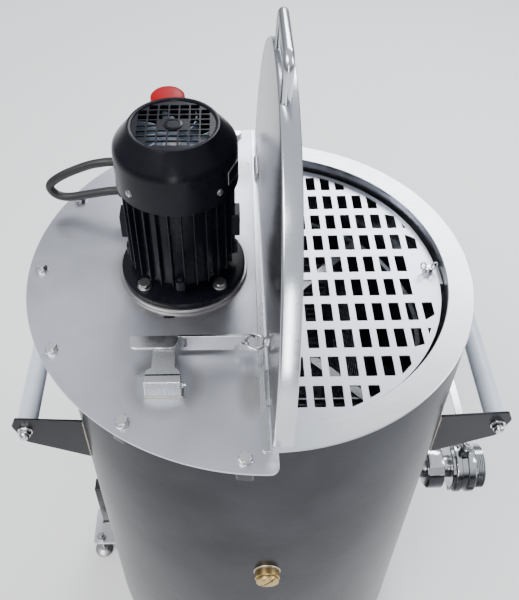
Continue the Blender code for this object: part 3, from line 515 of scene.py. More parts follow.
def washer(inner, outer, low, high, steps=40):
    lip = min(0.0004, (high - low) * 0.3)
    profile = [(inner, low), (outer, low), (outer, high - lip), (outer - lip, high), (inner, high)]
    return lathe(profile, steps)


def spindle(radii, low, high, lip, steps):
    """A bar or a sleeve with chamfered ends; radii are the inner one, the end's and the outer one."""
    inner, end, outer = radii
    profile = [(inner, low), (end, low), (outer, low + lip)]
    return lathe([*profile, (outer, high - lip), (end, high), (inner, high)], steps)


def pin(radius, low, high, steps=32, lip=0.0006):
    return spindle((0.0, radius - lip, radius), low, high, lip, steps)


def thread(radius, low, high, pitch=0.00125, steps=24):
    """A threaded rod as close ridges."""
    profile = [(0.0, low)]
    count = max(2, int((high - low) / pitch))
    for turn in range(count):
        start = low + (high - low) * turn / count
        profile.append((radius * 0.88, start + pitch * 0.05))
        profile.append((radius, start + pitch * 0.5))
    profile.append((radius * 0.88, high))
    profile.append((0.0, high))
    return lathe(profile, steps)


def bead(points, radius=0.0016, seed=0.0):
    """A weld bead: a bar whose thickness ripples along its length."""
    points = [Vector(point) for point in points]
    fine = []
    for start, end in zip(points, points[1:]):
        parts = max(2, int((end - start).length / 0.0018))
        fine += [start.lerp(end, step / parts) for step in range(parts)]
    fine.append(points[-1])
    radii = [
        radius * (0.86 + 0.22 * math.sin(2.1 * index + seed) * math.sin(0.7 * index + seed))
        for index in range(len(fine))
    ]
    return tube(fine, radii, 8)


# ---------------------------------------------------------------- cable

GLAND_Y = 0.11
CABLE_ROUTE = (
    (-0.1943, 0.0945, 0.0),
    (-0.208, 0.0935, 0.0),
    (-0.232, 0.086, 0.003),
    (-0.268, 0.068, 0.006),
    (-0.2885, 0.05, 0.008),
    (-0.284, 0.0345, 0.008),
    (-0.267, 0.029, 0.007),
    (-0.236, 0.036, 0.004),
    (-0.208, 0.044, 0.0),
    (-0.1943, 0.045, 0.0),
)


def smooth_route(points, steps):
    points = [Vector(point) for point in points]
    ends = [2.0 * points[0] - points[1], *points, 2.0 * points[-1] - points[-2]]
    route = []
    for index in range(1, len(ends) - 2):
        before, start, end, after = ends[index - 1 : index + 3]
        for step in range(steps):
            t = step / steps
            square = (2.0 * before - 5.0 * start + 4.0 * end - after) * t**2
            cube = (3.0 * start - before - 3.0 * end + after) * t**3
            route.append(0.5 * (2.0 * start + (end - before) * t + square + cube))
    route.append(points[-1])
    return route


def build_cable():
    route = smooth_route([(x, GLAND_Y + deeper, rim(height)) for x, height, deeper in CABLE_ROUTE], 6)
    data = bpy.data.curves.new("cable", "CURVE")
    data.dimensions = "3D"
    data.bevel_depth = 0.006
    data.bevel_resolution = 6
    data.use_fill_caps = True
    spline = data.splines.new("POLY")
    spline.points.add(len(route) - 1)
    for point, place in zip(spline.points, route):
        point.co = (*place, 1.0)
    cable = bpy.data.objects.new("cable", data)
    bpy.context.scene.collection.objects.link(cable)
    data.materials.append(M["rubber"])
    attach(cable, "base")
    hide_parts("motor_cable")


build_cable()

# ---------------------------------------------------------------- drum


def build_drum():
    shell = [
        (0.273, 0.0036), (0.2744, 0.0034), (0.275, 0.0044), (0.275, 0.03), (0.275, 0.7828),
        (0.2746, 0.7836), (0.273, 0.7836),
    ]
    put("drum_shell", lathe(shell, 224), "drum", node="outer_jacket")
    seam = math.radians(97.0)
    line = [(0.2747 * math.cos(seam), 0.2747 * math.sin(seam), 0.02 + 0.19 * part) for part in range(5)]
    put("shell_seam", bead(line, 0.0011), "weld")
    ring = round_line(3, lambda c, s: (0.27465 * c, 0.27465 * s, 0.7839))
    put("rim_weld", tube(ring, 0.0009, 8, closed=True), "ring")
    profile = [(0.0, 0.0), (0.2742, 0.0), (0.275, 0.0008), (0.275, 0.0026), (0.2746, 0.003), (0.0, 0.003)]
    put("floor_plate", lathe(profile, 192), "ring", node="base_plate")
    inner = [
        (0.0, 0.262), (0.1, 0.2497), (0.236, 0.2331), (0.2418, 0.2345), (0.243, 0.24), (0.243, 0.7837),
        (0.245, 0.7837), (0.245, 0.235), (0.242, 0.2305), (0.0, 0.26),
    ]
    put("tank_shell", lathe(inner, 192), "tank", node="inner_tank")
    cup = [(0.0088, 0.2625), (0.016, 0.26), (0.016, 0.279), (0.015, 0.28), (0.0088, 0.28)]
    put("shaft_cup", lathe(cup, 40), "machined")
    top = [
        (0.243, 0.7842), (0.2434, 0.784), (0.2748, 0.784), (0.2752, 0.7844), (0.2752, 0.7856),
        (0.2747, 0.786), (0.2436, 0.786), (0.243, 0.7855),
    ]
    put("rim_top", lathe(top, 224), "ring", node="rim_ring")
    for index, angle in enumerate(BOLT_ANGLES):
        lug = prism(rounded((0.2744, 0.2985), (-0.01, 0.01), 0.0035), rim(-0.022), rim(-0.0023))
        hole = moved(pin(BOLT_HOLE_R, rim(-0.03), rim(0.01), 24), BOLT_CIRCLE)
        put(
            f"bolt_lug_{index + 1}", turned(lug, "Z", angle), "drum", bevel=0.0008,
            cut=[turned(hole, "Z", angle)],
        )
        line = [(0.2752, -0.0095, rim(-0.022)), (0.2752, 0.0095, rim(-0.022))]
        put(f"bolt_lug_weld_{index + 1}", turned(bead(line, 0.0012, index), "Z", angle), "weld")
    for index, angle in enumerate(LUG_ANGLES):
        plate = prism(rounded((0.2705, 0.323), (-0.038, 0.037), 0.004), 0.034, 0.039)
        hole = moved(pin(0.0056, 0.02, 0.05, 24), *FOOT)
        put(
            f"foot_plate_{index + 1}", turned(plate, "Z", angle), "ring", bevel=0.0007,
            cut=[turned(hole, "Z", angle)],
        )
        post = box((0.2738, 0.308), (-0.034, -0.008), (0.0388, 0.174))
        put(f"foot_post_{index + 1}", turned(post, "Z", angle), "drum", bevel=0.0022, segments=3)
        line = [
            (0.275, 0.0345, 0.0392), (0.2755, 0.012, 0.0392), (0.2755, -0.006, 0.0392),
            (0.3085, -0.006, 0.0395), (0.3088, -0.034, 0.0395),
        ]
        put(f"foot_weld_{index + 1}", turned(bead(line, 0.0014, index), "Z", angle), "weld")
        foot = [
            (0.0, -0.014), (0.0172, -0.014), (0.018, -0.0132), (0.018, -0.0095), (0.0165, -0.0082),
            (0.0075, -0.0055), (0.0058, -0.002), (0.0, -0.002),
        ]
        stud = thread(0.005, -0.004, 0.053)
        parts = merged(
            lathe(foot, 48), stud, hexagon(0.0092, 0.0258, 0.0336), hexagon(0.0092, 0.0394, 0.0466)
        )
        put(
            f"levelling_foot_shape_{index + 1}", turned(moved(parts, *FOOT), "Z", angle), "machined",
            node=f"levelling_foot_{index + 1}",
        )


def build_plug():
    boss = [
        (0.0125, -0.2735), (0.0166, -0.2735), (0.017, -0.2745), (0.017, -0.2858), (0.016, -0.287),
        (0.0125, -0.287),
    ]
    put("plug_boss", moved(along_y(lathe(boss, 64)), 0.004, 0.0, PLUG_Z), "brass")
    ring = round_line(12, lambda c, s: (0.004 + 0.0174 * c, -0.2752, PLUG_Z + 0.0174 * s))
    put("plug_weld", tube(ring, 0.0014, 8, closed=True), "weld")
    head = [
        (0.0, -0.2925), (0.0095, -0.2925), (0.0105, -0.2915), (0.0152, -0.291), (0.0155, -0.29),
        (0.0155, -0.2878), (0.0122, -0.2874), (0.0122, -0.27), (0.0, -0.27),
    ]
    slot = box((-0.0012, 0.0012), (-0.3, -0.29), (-0.03, 0.03))
    slot = moved(turned(slot, "Y", 38.0), 0.004, 0.0, PLUG_Z)
    put(
        "plug_head", moved(along_y(lathe(head, 64)), 0.004, 0.0, PLUG_Z), "brass", node="brass_plug",
        cut=[slot],
    )


def build_handles():
    outline = [
        (0.2482, -0.172), (0.338, -0.1652), (0.3405, -0.1662), (0.347, -0.181), (0.3465, -0.186),
        (0.336, -0.219), (0.332, -0.2225), (0.2482, -0.264),
    ]
    for side, label in ((-1.0, "left"), (1.0, "right")):
        for end, place in ((-1.0, "front"), (1.0, "back")):
            y = end * BRACKET_Y
            plate = moved(
                turned(prism([(x, -z) for x, z in outline], -0.00175, 0.00175), "X", -90.0), 0.0, y, RIM
            )
            weld = bead([(0.2483, y, rim(-0.174)), (0.2483, y, rim(-0.262))], 0.0021, end)
            for mesh in (plate, weld):
                if side < 0.0:
                    turned(mesh, "Z", 180.0, (0.0, y, 0.0))
            put(
                f"bracket_{label}_{place}", plate, "dark", node=f"handle_bracket_{label}_{place}",
                bevel=0.0007,
            )
            put(f"bracket_weld_{label}_{place}", weld, "weld")
            collar = merged(
                washer(0.0053, 0.0105, 0.0, 0.0014), moved(hexagon(0.0092, 0.0, 0.0062), z=0.0015)
            )
            profile = [
                (0.0, 0.007), (0.0075, 0.007), (0.0072, 0.0095), (0.0055, 0.0123), (0.0028, 0.0138),
                (0.0, 0.0142),
            ]
            dome = lathe(profile, 40)
            nut = along_y(merged(collar, dome)) if end > 0.0 else turned(merged(collar, dome), "X", 90.0)
            put(f"acorn_nut_{label}_{place}", moved(nut, side * GRIP_X, end * 0.12305, GRIP_Z), "bright")
        grip = [
            (0.0055, -0.1188), (0.0118, -0.1188), (0.0138, -0.1178), (0.0146, -0.1155), (0.0146, -0.108),
            (0.0143, 0.0), (0.0146, 0.108), (0.0146, 0.1155), (0.0138, 0.1178), (0.0118, 0.1188),
            (0.0055, 0.1188),
        ]
        put(
            f"grip_{label}", moved(along_y(lathe(grip, 72)), side * GRIP_X, 0.0, GRIP_Z), "white",
            node=f"handle_grip_{label}",
        )
        put(
            f"grip_rod_{label}", moved(along_y(pin(0.005, -0.13, 0.13)), side * GRIP_X, 0.0, GRIP_Z),
            "machined", node=f"handle_rod_{label}",
        )


def build_outlet():
    pipe = [(0.0185, 0.2426), (0.0205, 0.2426), (0.0205, 0.35), (0.02, 0.3507), (0.0185, 0.3507)]
    put("spout_pipe", on_outlet(lathe(pipe, 72)), "valve", node="outlet_pipe")
    ring = [
        (
            0.2752 - 0.0008 * math.cos(math.radians(2 * a)), 0.0213 * math.cos(math.radians(a)),
            OUTLET_Z + 0.0213 * math.sin(math.radians(a)),
        )
        for a in range(0, 360, 12)
    ]
    put("spout_weld", tube(ring, 0.0016, 8, closed=True), "weld")
    nut = [
        (0.0208, 0.307), (0.0345, 0.307), (0.0385, 0.3095), (0.039, 0.3115), (0.039, 0.334),
        (0.038, 0.3362), (0.033, 0.338), (0.0208, 0.338),
    ]
    slots = [
        turned(box((0.035, 0.06), (-0.006, 0.006), (0.3, 0.345)), "Z", 45.0 + 90.0 * step)
        for step in range(4)
    ]
    put(
        "spout_nut", on_outlet(lathe(nut, 96)), "valve", node="union_nut", bevel=0.0006,
        cut=[on_outlet(merged(*slots))],
    )
    body = [
        (0.0185, 0.351), (0.0385, 0.351), (0.04, 0.3525), (0.04, 0.356), (0.0455, 0.3575), (0.046, 0.359),
        (0.046, 0.366), (0.045, 0.3672), (0.043, 0.3676), (0.043, 0.3772), (0.045, 0.3776), (0.046, 0.3788),
        (0.046, 0.3885), (0.045, 0.3905), (0.0405, 0.3935),
    ]
    for ridge in range(5):
        start = 0.394 + 0.0032 * ridge
        body += [(0.0365, start), (0.039, start + 0.0009), (0.039, start + 0.0018), (0.0365, start + 0.0027)]
    body += [
        (0.0355, 0.4105), (0.034, 0.411), (0.02, 0.411), (0.019, 0.41), (0.0185, 0.3975), (0.024, 0.386),
        (0.0264, BALL_X), (0.024, 0.359),
    ]
    slots = [
        turned(box((0.0432, 0.06), (-0.0055, 0.0055), (0.3784, 0.3925)), "Z", 30.0 + 60.0 * step)
        for step in range(6)
    ]
    stem = moved(pin(0.0056, OUTLET_Z, OUTLET_Z + 0.06), BALL_X)
    put(
        "valve_shape", on_outlet(lathe(body, 112)), "valve", node="valve_body",
        cut=[on_outlet(merged(*slots)), stem],
    )
    for step in range(4):
        angle = math.radians(45.0 + 90.0 * step)
        bolt = along_x(merged(hexagon(0.0048, 0.3906, 0.3945), hexagon(0.0048, 0.351, 0.356)))
        put(
            f"valve_bolt_{step + 1}",
            moved(bolt, 0.0, 0.0405 * math.cos(angle), OUTLET_Z + 0.0405 * math.sin(angle)), "machined",
        )
    hub = [
        (0.0053, rim(-0.476)), (0.01, rim(-0.476)), (0.011, rim(-0.4745)), (0.011, rim(-0.4555)),
        (0.0095, rim(-0.454)), (0.0053, rim(-0.454)),
    ]
    put("lever_hub", moved(lathe(hub, 48), BALL_X), "valve", "valve")
    blade = [
        (0.3655, -0.0085), (0.369, -0.0105), (0.376, -0.0105), (0.3795, -0.0085), (0.38, 0.02),
        (0.3795, 0.137), (0.3783, 0.1425), (0.3755, 0.145), (0.3695, 0.145), (0.3667, 0.1425),
        (0.3655, 0.137), (0.365, 0.02),
    ]
    put(
        "lever_blade", prism(blade, rim(-0.4535), rim(-0.4502)), "valve", "valve", node="valve_lever",
        bevel=0.0009,
    )
    nut = merged(hexagon(0.0085, rim(-0.45), rim(-0.4455)), thread(0.0042, rim(-0.446), rim(-0.4428)))
    put("lever_nut", moved(nut, BALL_X), "machined", "valve")


# ---------------------------------------------------------------- cover


def left_half(radius, edge_x, corner, steps):
    centre_x = edge_x - corner
    centre_y = math.sqrt((radius - corner) ** 2 - centre_x**2)
    turn = math.degrees(math.atan2(centre_y, centre_x))
    points = arc(corner, 0.0, turn, 8, (centre_x, centre_y))
    points += arc(radius, turn, 360.0 - turn, steps)[1:-1]
    points += arc(corner, 360.0 - turn, 360.0, 8, (centre_x, -centre_y))
    return points


def build_cover():
    holes = [moved(pin(0.02, rim(-0.01), rim(0.02), 48), MOTOR_X)]
    holes.append(prism(rounded((-0.124, -0.11), (-0.0898, -0.0862), 0.0017), rim(-0.01), rim(0.02)))
    for middle in (0.1975, -0.202):
        holes.append(box((-0.0124, -0.0108), (middle - 0.021, middle + 0.021), (rim(0.0042), rim(0.02))))
    for angle in BOLT_ANGLES:
        holes.append(turned(moved(pin(BOLT_HOLE_R, rim(-0.01), rim(0.02), 20), BOLT_CIRCLE), "Z", angle))
    put(
        "cover_plate", prism(left_half(COVER_R, 0.008, 0.01, 168), rim(0.0026), rim(0.0056)), "plate",
        node="half_cover", bevel=0.0006, cut=[merged(*holes)],
    )
    gasket = prism(
        arc(0.2715, 89.0, 271.0, 120), rim(0.0003), rim(0.0023), inner=arc(0.2465, 89.0, 271.0, 120)
    )
    put("gasket_band", gasket, "gasket", node="cover_gasket")
    for index, angle in enumerate(BOLT_ANGLES):
        head = merged(
            washer(0.0043, 0.0081, rim(0.00575), rim(0.00735)),
            turned(hexagon(0.0075, rim(0.0074), rim(0.0127), 0.0007), "Z", 17.0 * index),
            thread(0.004, rim(-0.026), rim(0.0062)),
        )
        put(
            f"bolt_shape_{index + 1}", turned(moved(head, BOLT_CIRCLE), "Z", angle), "bright",
            node=f"cover_bolt_{index + 1}",
        )
    strip = [
        (-0.0005, -0.28), (-0.0005, 0.3), (-0.005, 0.3), (-0.0105, -0.262), (-0.0103, -0.2735),
        (-0.0088, -0.278), (-0.006, -0.28),
    ]
    put("strip_plate", prism(strip, rim(0.0059), rim(0.0079)), "bar", bevel=0.0005)
    knuckles = []
    for side in (-1.0, 1.0):
        low = side * HINGE_Y - 0.021
        barrel = moved(along_y(spindle((0.0, 0.0041, 0.0045), 0.0, 0.0207, 0.0005, 32)), y=low)
        web = box((-0.0043, 0.001), (low + 0.0003, low + 0.0204), (-0.0066, -0.0004))
        knuckles += [barrel, web, along_y(pin(0.0025, low + 0.005, low + 0.042, 24, 0.0003))]
    put("strip_knuckles", moved(merged(*knuckles), *HINGE), "bar", node="hinge_strip")
    shell = box((-0.139, -0.097), (-0.207, -0.194), (rim(0.0059), rim(0.0331)))
    tongue = [
        (-0.1385, -0.198), (-0.0975, -0.198), (-0.0975, -0.193), (-0.0995, -0.189), (-0.104, -0.1855),
        (-0.1045, -0.1605), (-0.1305, -0.1605), (-0.131, -0.1855), (-0.1365, -0.189), (-0.1385, -0.193),
    ]
    tongue = prism(tongue, rim(0.0302), rim(0.0331))
    put(
        "rest_shell", shell, "bar", node="rest_bracket", bevel=0.0026,
        cut=[box((-0.1365, -0.0995), (-0.2045, -0.16), (rim(0.0), rim(0.0303)))], segments=3,
    )
    put("rest_tongue", tongue, "bar", bevel=0.0008)
    ring = [(-0.1395, -0.2075, rim(0.0062)), (-0.0965, -0.2075, rim(0.0062)), (-0.0965, -0.1935, rim(0.0062))]
    put("rest_weld", bead(ring, 0.0011), "weld")
    put(
        "rest_screw",
        moved(
            along_x(
                merged(hexagon(0.0035, 0.0, 0.0022, 0.0004), moved(pin(0.0014, 0.002, 0.005, 16, 0.0002)))
            ),
            -0.097, -0.2005, rim(0.02),
        ),
        "bright",
    )


# ---------------------------------------------------------------- motor


def corner_screws(name, across, along, screw):
    """One screw head at each corner; screw is its radius, low, high and lip."""
    radius, low, high, lip = screw
    for x in across:
        for y in along:
            head = moved(pin(radius, rim(low), rim(high), 24, lip), x, y)
            put(f"{name}_screw_{int(-x * 1e4)}_{int(y * 1e4)}", head, "machined")


def build_motor():
    ring = [
        (0.055, 0.0059), (0.0825, 0.0059), (0.0832, 0.0066), (0.0832, 0.0103), (0.0826, 0.011),
        (0.055, 0.011),
    ]
    put("spacer_shape", on_motor(lathe(ring, 128)), "machined", node="motor_spacer")
    flange = [
        (0.0078, 0.0113), (0.079, 0.0113), (0.08, 0.0122), (0.08, 0.0166), (0.0788, 0.018), (0.074, 0.0186),
        (0.06, 0.0196), (0.0078, 0.0196),
    ]
    put("flange_shape", on_motor(lathe(flange, 128)), "black", node="motor_flange")
    for step in range(4):
        angle = 45.0 + 90.0 * step
        bolt = merged(washer(0.0052, 0.0092, 0.0186, 0.0202), hexagon(0.0085, 0.0203, 0.0262, 0.0008))
        put(f"flange_bolt_{step + 1}", on_motor(turned(moved(bolt, 0.0668), "Z", angle)), "machined")
    shield = [
        (0.052, 0.0198), (0.0545, 0.0198), (0.056, 0.029), (0.059, 0.034), (0.0612, 0.036), (0.0612, 0.154),
        (0.06, 0.158), (0.05, 0.1595), (0.0082, 0.1595), (0.0082, 0.152), (0.052, 0.152),
    ]
    put("frame_shell", on_motor(lathe(shield, 112)), "black", node="motor_frame")
    fins = []
    count = 28
    for step in range(count):
        angle = 360.0 * step / count + 5.0
        fin = prism(
            [(0.06, -0.0013), (0.0674, -0.0009), (0.068, 0.0), (0.0674, 0.0009), (0.06, 0.0013)], 0.0375,
            0.156,
        )
        fins.append(turned(fin, "Z", angle))
    put("frame_fins", on_motor(merged(*fins)), "black", bevel=0.0004)
    for step in range(4):
        angle = 45.0 + 90.0 * step
        lug = merged(
            prism(rounded((0.0575, 0.0712), (-0.0062, 0.0062), 0.003), 0.0345, 0.048),
            moved(pin(0.0042, 0.0478, 0.0522, 28), 0.0652),
        )
        put(f"shield_lug_{step + 1}", on_motor(turned(lug, "Z", angle + 45.0)), "black", bevel=0.0008)
        profile = [(0.0, 0.0008), (0.004, 0.0008), (0.0038, 0.0022), (0.0022, 0.0032), (0.0, 0.0034)]
        head = merged(washer(0.0021, 0.0044, 0.0, 0.0008), lathe(profile, 28))
        head = moved(along_x(head), 0.0712, 0.0, 0.173)
        put(f"cowl_screw_{step + 1}", on_motor(turned(head, "Z", angle)), "machined")
    cowl = [
        (0.07, 0.157), (0.0712, 0.1562), (0.0722, 0.1572), (0.0718, 0.161), (0.0716, 0.199),
        (0.0708, 0.2052), (0.068, 0.2098), (0.056, 0.224), (0.053, 0.2284), (0.0518, 0.2298),
        (0.05, 0.2302), (0.0478, 0.2294), (0.0468, 0.2278), (0.0468, 0.2262), (0.051, 0.2266),
        (0.066, 0.2088), (0.0692, 0.203), (0.07, 0.198),
    ]
    put("cowl_shape", on_motor(lathe(cowl, 144)), "black", node="fan_cowl")
    holes = []
    for column in range(7):
        for row in range(8):
            x = (column - 3.0) * 0.0118
            y = (row - 3.5) * 0.0098
            far = math.hypot(abs(x) + 0.0034, abs(y) + 0.0026)
            if math.hypot(x, y) > 0.013 and far < 0.048:
                holes.append(
                    prism(rounded((x - 0.005, x + 0.005), (y - 0.004, y + 0.004), 0.001, 2), 0.22, 0.24)
                )
    grid = lathe([(0.0, 0.2264), (0.0474, 0.2264), (0.0474, 0.2282), (0.0, 0.2282)], 96)
    put("cowl_grid", on_motor(grid), "black", bevel=0.0003, cut=[on_motor(merged(*holes))])
    profile = [
        (0.0, 0.228), (0.0108, 0.228), (0.0104, 0.2291), (0.0078, 0.2297), (0.0072, 0.229), (0.0, 0.229)
    ]
    hub = lathe(profile, 56)
    put("cowl_hub", on_motor(hub), "black")
    disc = [
        (0.0073, 0.18), (0.0545, 0.18), (0.0549, 0.1812), (0.02, 0.1826), (0.016, 0.196), (0.014, 0.2),
        (0.0073, 0.2),
    ]
    blades = []
    for step in range(9):
        blade = bmesh.new()
        rows = []
        for part in range(6):
            reach = 0.0145 + 0.0425 * part / 5.0
            lean = math.radians(26.0) * (part / 5.0) ** 1.2
            top = 0.2105 if part else 0.2
            row = []
            for height, thick in ((0.1814, 0.0011), (top, 0.0008)):
                for sign in (-1.0, 1.0):
                    angle = lean + sign * thick / reach
                    row.append(blade.verts.new((reach * math.cos(angle), reach * math.sin(angle), height)))
            rows.append(row)
        for first, second in zip(rows, rows[1:]):
            for a, b in ((0, 1), (1, 3), (3, 2), (2, 0)):
                blade.faces.new((first[a], first[b], second[b], second[a]))
        blade.faces.new([rows[0][i] for i in (0, 1, 3, 2)])
        blade.faces.new([rows[-1][i] for i in (0, 1, 3, 2)])
        bmesh.ops.recalc_face_normals(blade, faces=blade.faces)
        blades.append(turned(blade, "Z", 40.0 * step))
    put(
        "fan_shape", on_motor(merged(lathe(disc, 72), *blades)), "fan", "rotor", node="cooling_fan",
    )
    for name, long, wide, out, look in (
        ("edge", 0.014, 0.009, 0.0716, "label"), ("face", 0.0129, 0.0079, 0.072, "black")
    ):
        plate = prism(rounded((-long, long), (-wide, wide), 0.0012), 0.0, 0.0006)
        plate = moved(along_x(turned(plate, "Z", 90.0)), out, 0.0, 0.184)
        put(f"blank_plate_{name}", on_motor(turned(plate, "Z", -24.0)), look, bevel=0.0002)
    for side, angle in (("right", 0.0), ("left", 180.0)):
        pad = box((0.0605, 0.0735), (-0.012, 0.012), (0.07, 0.104))
        put(f"frame_pad_{side}", on_motor(turned(pad, "Z", angle)), "black", bevel=0.0015)
    put(
        "terminal_shell", box((-0.1455, -0.0575), (0.0695, 0.1275), (rim(0.0225), rim(0.066))), "box",
        node="terminal_box", bevel=0.0045, segments=4,
    )
    put(
        "terminal_cover", box((-0.146, -0.057), (0.069, 0.128), (rim(0.0668), rim(0.078))), "box",
        bevel=0.003, segments=4,
    )
    corner_screws("terminal", (-0.1395, -0.0635), (0.0755, 0.1215), (0.003, 0.0776, 0.0792, 0.0005))
    put(
        "switch_shell", box((-0.1575, -0.0785), (0.0805, 0.1395), (rim(0.0845), rim(0.14))), "box",
        node="switch_box", bevel=0.006, segments=4,
    )
    put(
        "switch_cover", box((-0.158, -0.078), (0.08, 0.14), (rim(0.1408), rim(0.16))), "box", bevel=0.005,
        segments=4,
    )
    corner_screws("switch", (-0.15, -0.086), (0.0875, 0.1325), (0.0032, 0.1594, 0.161, 0.0006))
    put("box_neck", moved(pin(0.016, rim(0.0775), rim(0.085), 40), -0.112, 0.106), "box")
    collar = [
        (0.0088, 0.1598), (0.019, 0.1598), (0.0188, 0.1612), (0.015, 0.164), (0.0148, 0.1735),
        (0.0088, 0.1735),
    ]
    put("button_collar", moved(lathe(collar, 64), *BUTTON, RIM), "box")
    button = [
        (0.0, 0.14), (0.008, 0.14), (0.008, 0.1781), (0.0125, 0.1787), (0.0195, 0.1785), (0.0215, 0.1797),
        (0.022, 0.1821), (0.0218, 0.19), (0.0212, 0.1945), (0.019, 0.1968), (0.015, 0.198), (0.006, 0.1985),
        (0.0, 0.1985),
    ]
    put(
        "button_shape", moved(lathe(button, 80), *BUTTON, RIM), "red", "estop", node="estop_button",
    )
    for name, wall, height in (("upper", -0.1578, 0.0945), ("lower", -0.1458, 0.045)):
        dome = [
            (0.0, -0.194), (0.0064, -0.194), (0.0084, -0.193), (0.01, -0.19), (0.0106, -0.186),
            (0.0106, -0.18), (0.0, -0.18),
        ]
        nut = hexagon(0.0132, -0.18, -0.172, 0.001)
        stem = [
            (0.0, -0.1722), (0.0095, -0.1722), (0.0098, wall - 0.007), (0.0122, wall - 0.0062),
            (0.0122, wall - 0.0006), (0.007, wall - 0.0004), (0.007, wall + 0.01), (0.0, wall + 0.01),
        ]
        ribs = [
            turned(box((0.01, 0.0112), (-0.0008, 0.0008), (-0.188, -0.1802)), "Z", 30.0 * step)
            for step in range(12)
        ]
        gland = along_x(merged(lathe(dome, 48), nut, lathe(stem, 48), *ribs))
        put(f"gland_shape_{name}", moved(gland, 0.0, GLAND_Y, rim(height)), "box", node=f"cable_gland_{name}")


# ---------------------------------------------------------------- lid


def on_lid(mesh):
    """Takes a shape from the closed lid's hinge frame to the open lid's place."""
    return moved(turned(mesh, "Y", -LID_OPEN), *HINGE)


def pan_mesh():
    """A half-round pan with a rolled edge: flat top at 0, its skirt down to -0.0206."""
    mesh = bmesh.new()
    profile = (
        (0.28, -0.0206), (0.2812, -0.021), (0.282, -0.0202), (0.282, -0.003), (0.2815, -0.0013),
        (0.2803, -0.0003), (0.2788, 0.0),
    )
    inside = ((0.2784, -0.002), (0.2797, -0.0028), (0.28, -0.004))
    start = 0.0078
    steps = 160
    columns = []
    limit = math.degrees(math.acos((start + 0.001) / 0.281))
    for step in range(steps + 1):
        angle = math.radians(-limit + 2.0 * limit * step / steps)
        column = [
            mesh.verts.new((radius * math.cos(angle) - 0.001, radius * math.sin(angle), height))
            for radius, height in (*profile, *inside)
        ]
        columns.append(column)
    count = len(columns[0])
    top = len(profile) - 1
    for first, second in zip(columns, columns[1:]):
        for index in range(count):
            if index == top:
                continue
            after = (index + 1) % count
            mesh.faces.new((first[index], second[index], second[after], first[after]))
    corners = []
    for column, sign in ((columns[-1], 1.0), (columns[0], -1.0)):
        reach = abs(column[top].co.y)
        corners.append(
            (mesh.verts.new((0.0005, sign * reach, 0.0)), mesh.verts.new((0.0005, sign * reach, -0.002)))
        )
    mesh.faces.new([column[top] for column in columns] + [corners[0][0], corners[1][0]])
    mesh.faces.new([column[top + 1] for column in columns] + [corners[0][1], corners[1][1]])
    mesh.faces.new((corners[0][0], corners[0][1], corners[1][1], corners[1][0]))
    for column, corner in ((columns[-1], corners[0]), (columns[0], corners[1])):
        mesh.faces.new((column[top], column[top + 1], corner[1], corner[0]))
        mesh.faces.new(column)
    bmesh.ops.recalc_face_normals(mesh, faces=mesh.faces)
    return mesh


def build_lid():
    notches = [
        box((-0.01, 0.0052), (side * HINGE_Y - 0.022, side * HINGE_Y + 0.022), (-0.01, 0.01))
        for side in (-1.0, 1.0)
    ]
    put(
        "lid_shape", on_lid(pan_mesh()), "lid", "lid", node="lid_pan", cut=[on_lid(merged(*notches))],
    )
    bar_x = 0.3225
    corner = 0.013
    route = [(0.2752, -BOW_HALF, BOW_Z)]
    route += [(x, y, BOW_Z) for x, y in arc(corner, -90.0, 0.0, 10, (bar_x - corner, -BOW_HALF + corner))]
    route += [(x, y, BOW_Z) for x, y in arc(corner, 0.0, 90.0, 10, (bar_x - corner, BOW_HALF - corner))]
    route.append((0.2752, BOW_HALF, BOW_Z))
    put("bow_handle", on_lid(tube(route, 0.006, 32)), "lid", "lid", node="lid_handle")
    for side in (-1.0, 1.0):
        ring = round_line(
            20,
            lambda c, s: (
                0.2735 + 0.0012 * c * side * -1.0 + 0.0018, side * BOW_HALF + 0.0052 * c, BOW_Z + 0.0052 * s
            ),
        )
        put(
            f"bow_weld_{'front' if side < 0 else 'back'}", on_lid(tube(ring, 0.0011, 8, closed=True)),
            "weld", "lid",
        )
    ring = round_line(8, lambda c, s: (EYE_X, EYE_Y + EYE_R * c, EYE_OUT + EYE_R * s))
    eye = merged(
        tube(ring, 0.0018, 16, closed=True),
        moved(pin(0.003, 0.0002, 0.004, 28), EYE_X, EYE_Y),
        moved(hexagon(0.0064, 0.0014, 0.0034, 0.0005), EYE_X, EYE_Y),
        moved(washer(0.003, 0.008, 0.0002, 0.0013), EYE_X, EYE_Y),
    )
    put("eye_shape", on_lid(eye), "bright", "lid", node="lid_eye_bolt")
    inside = merged(
        moved(washer(0.003, 0.0058, -0.0034, -0.0022), 0.0125, EYE_Y),
        moved(hexagon(0.0048, -0.0064, -0.0036, 0.0006), 0.0125, EYE_Y),
    )
    put("eye_nut", on_lid(inside), "machined", "lid")
    for side, label in ((-1.0, "front"), (1.0, "back")):
        low = side * HINGE_Y + 0.0003
        high = side * HINGE_Y + 0.021
        barrel = moved(along_y(spindle((0.0028, 0.0041, 0.0045), 0.0, high - low, 0.0005, 36)), y=low)
        leaf = prism(rounded((0.0015, 0.02), (low + 0.0002, high - 0.0002), 0.003), -0.0043, -0.0022)
        screws = [
            moved(pin(0.0022, -0.0056, -0.0042, 20, 0.0004), 0.0135, low + (high - low) * spot)
            for spot in (0.35, 0.65)
        ]
        put(
            f"leaf_shape_{label}", on_lid(merged(barrel, leaf, *screws)), "bar", "lid",
            node=f"lid_hinge_leaf_{label}",
        )


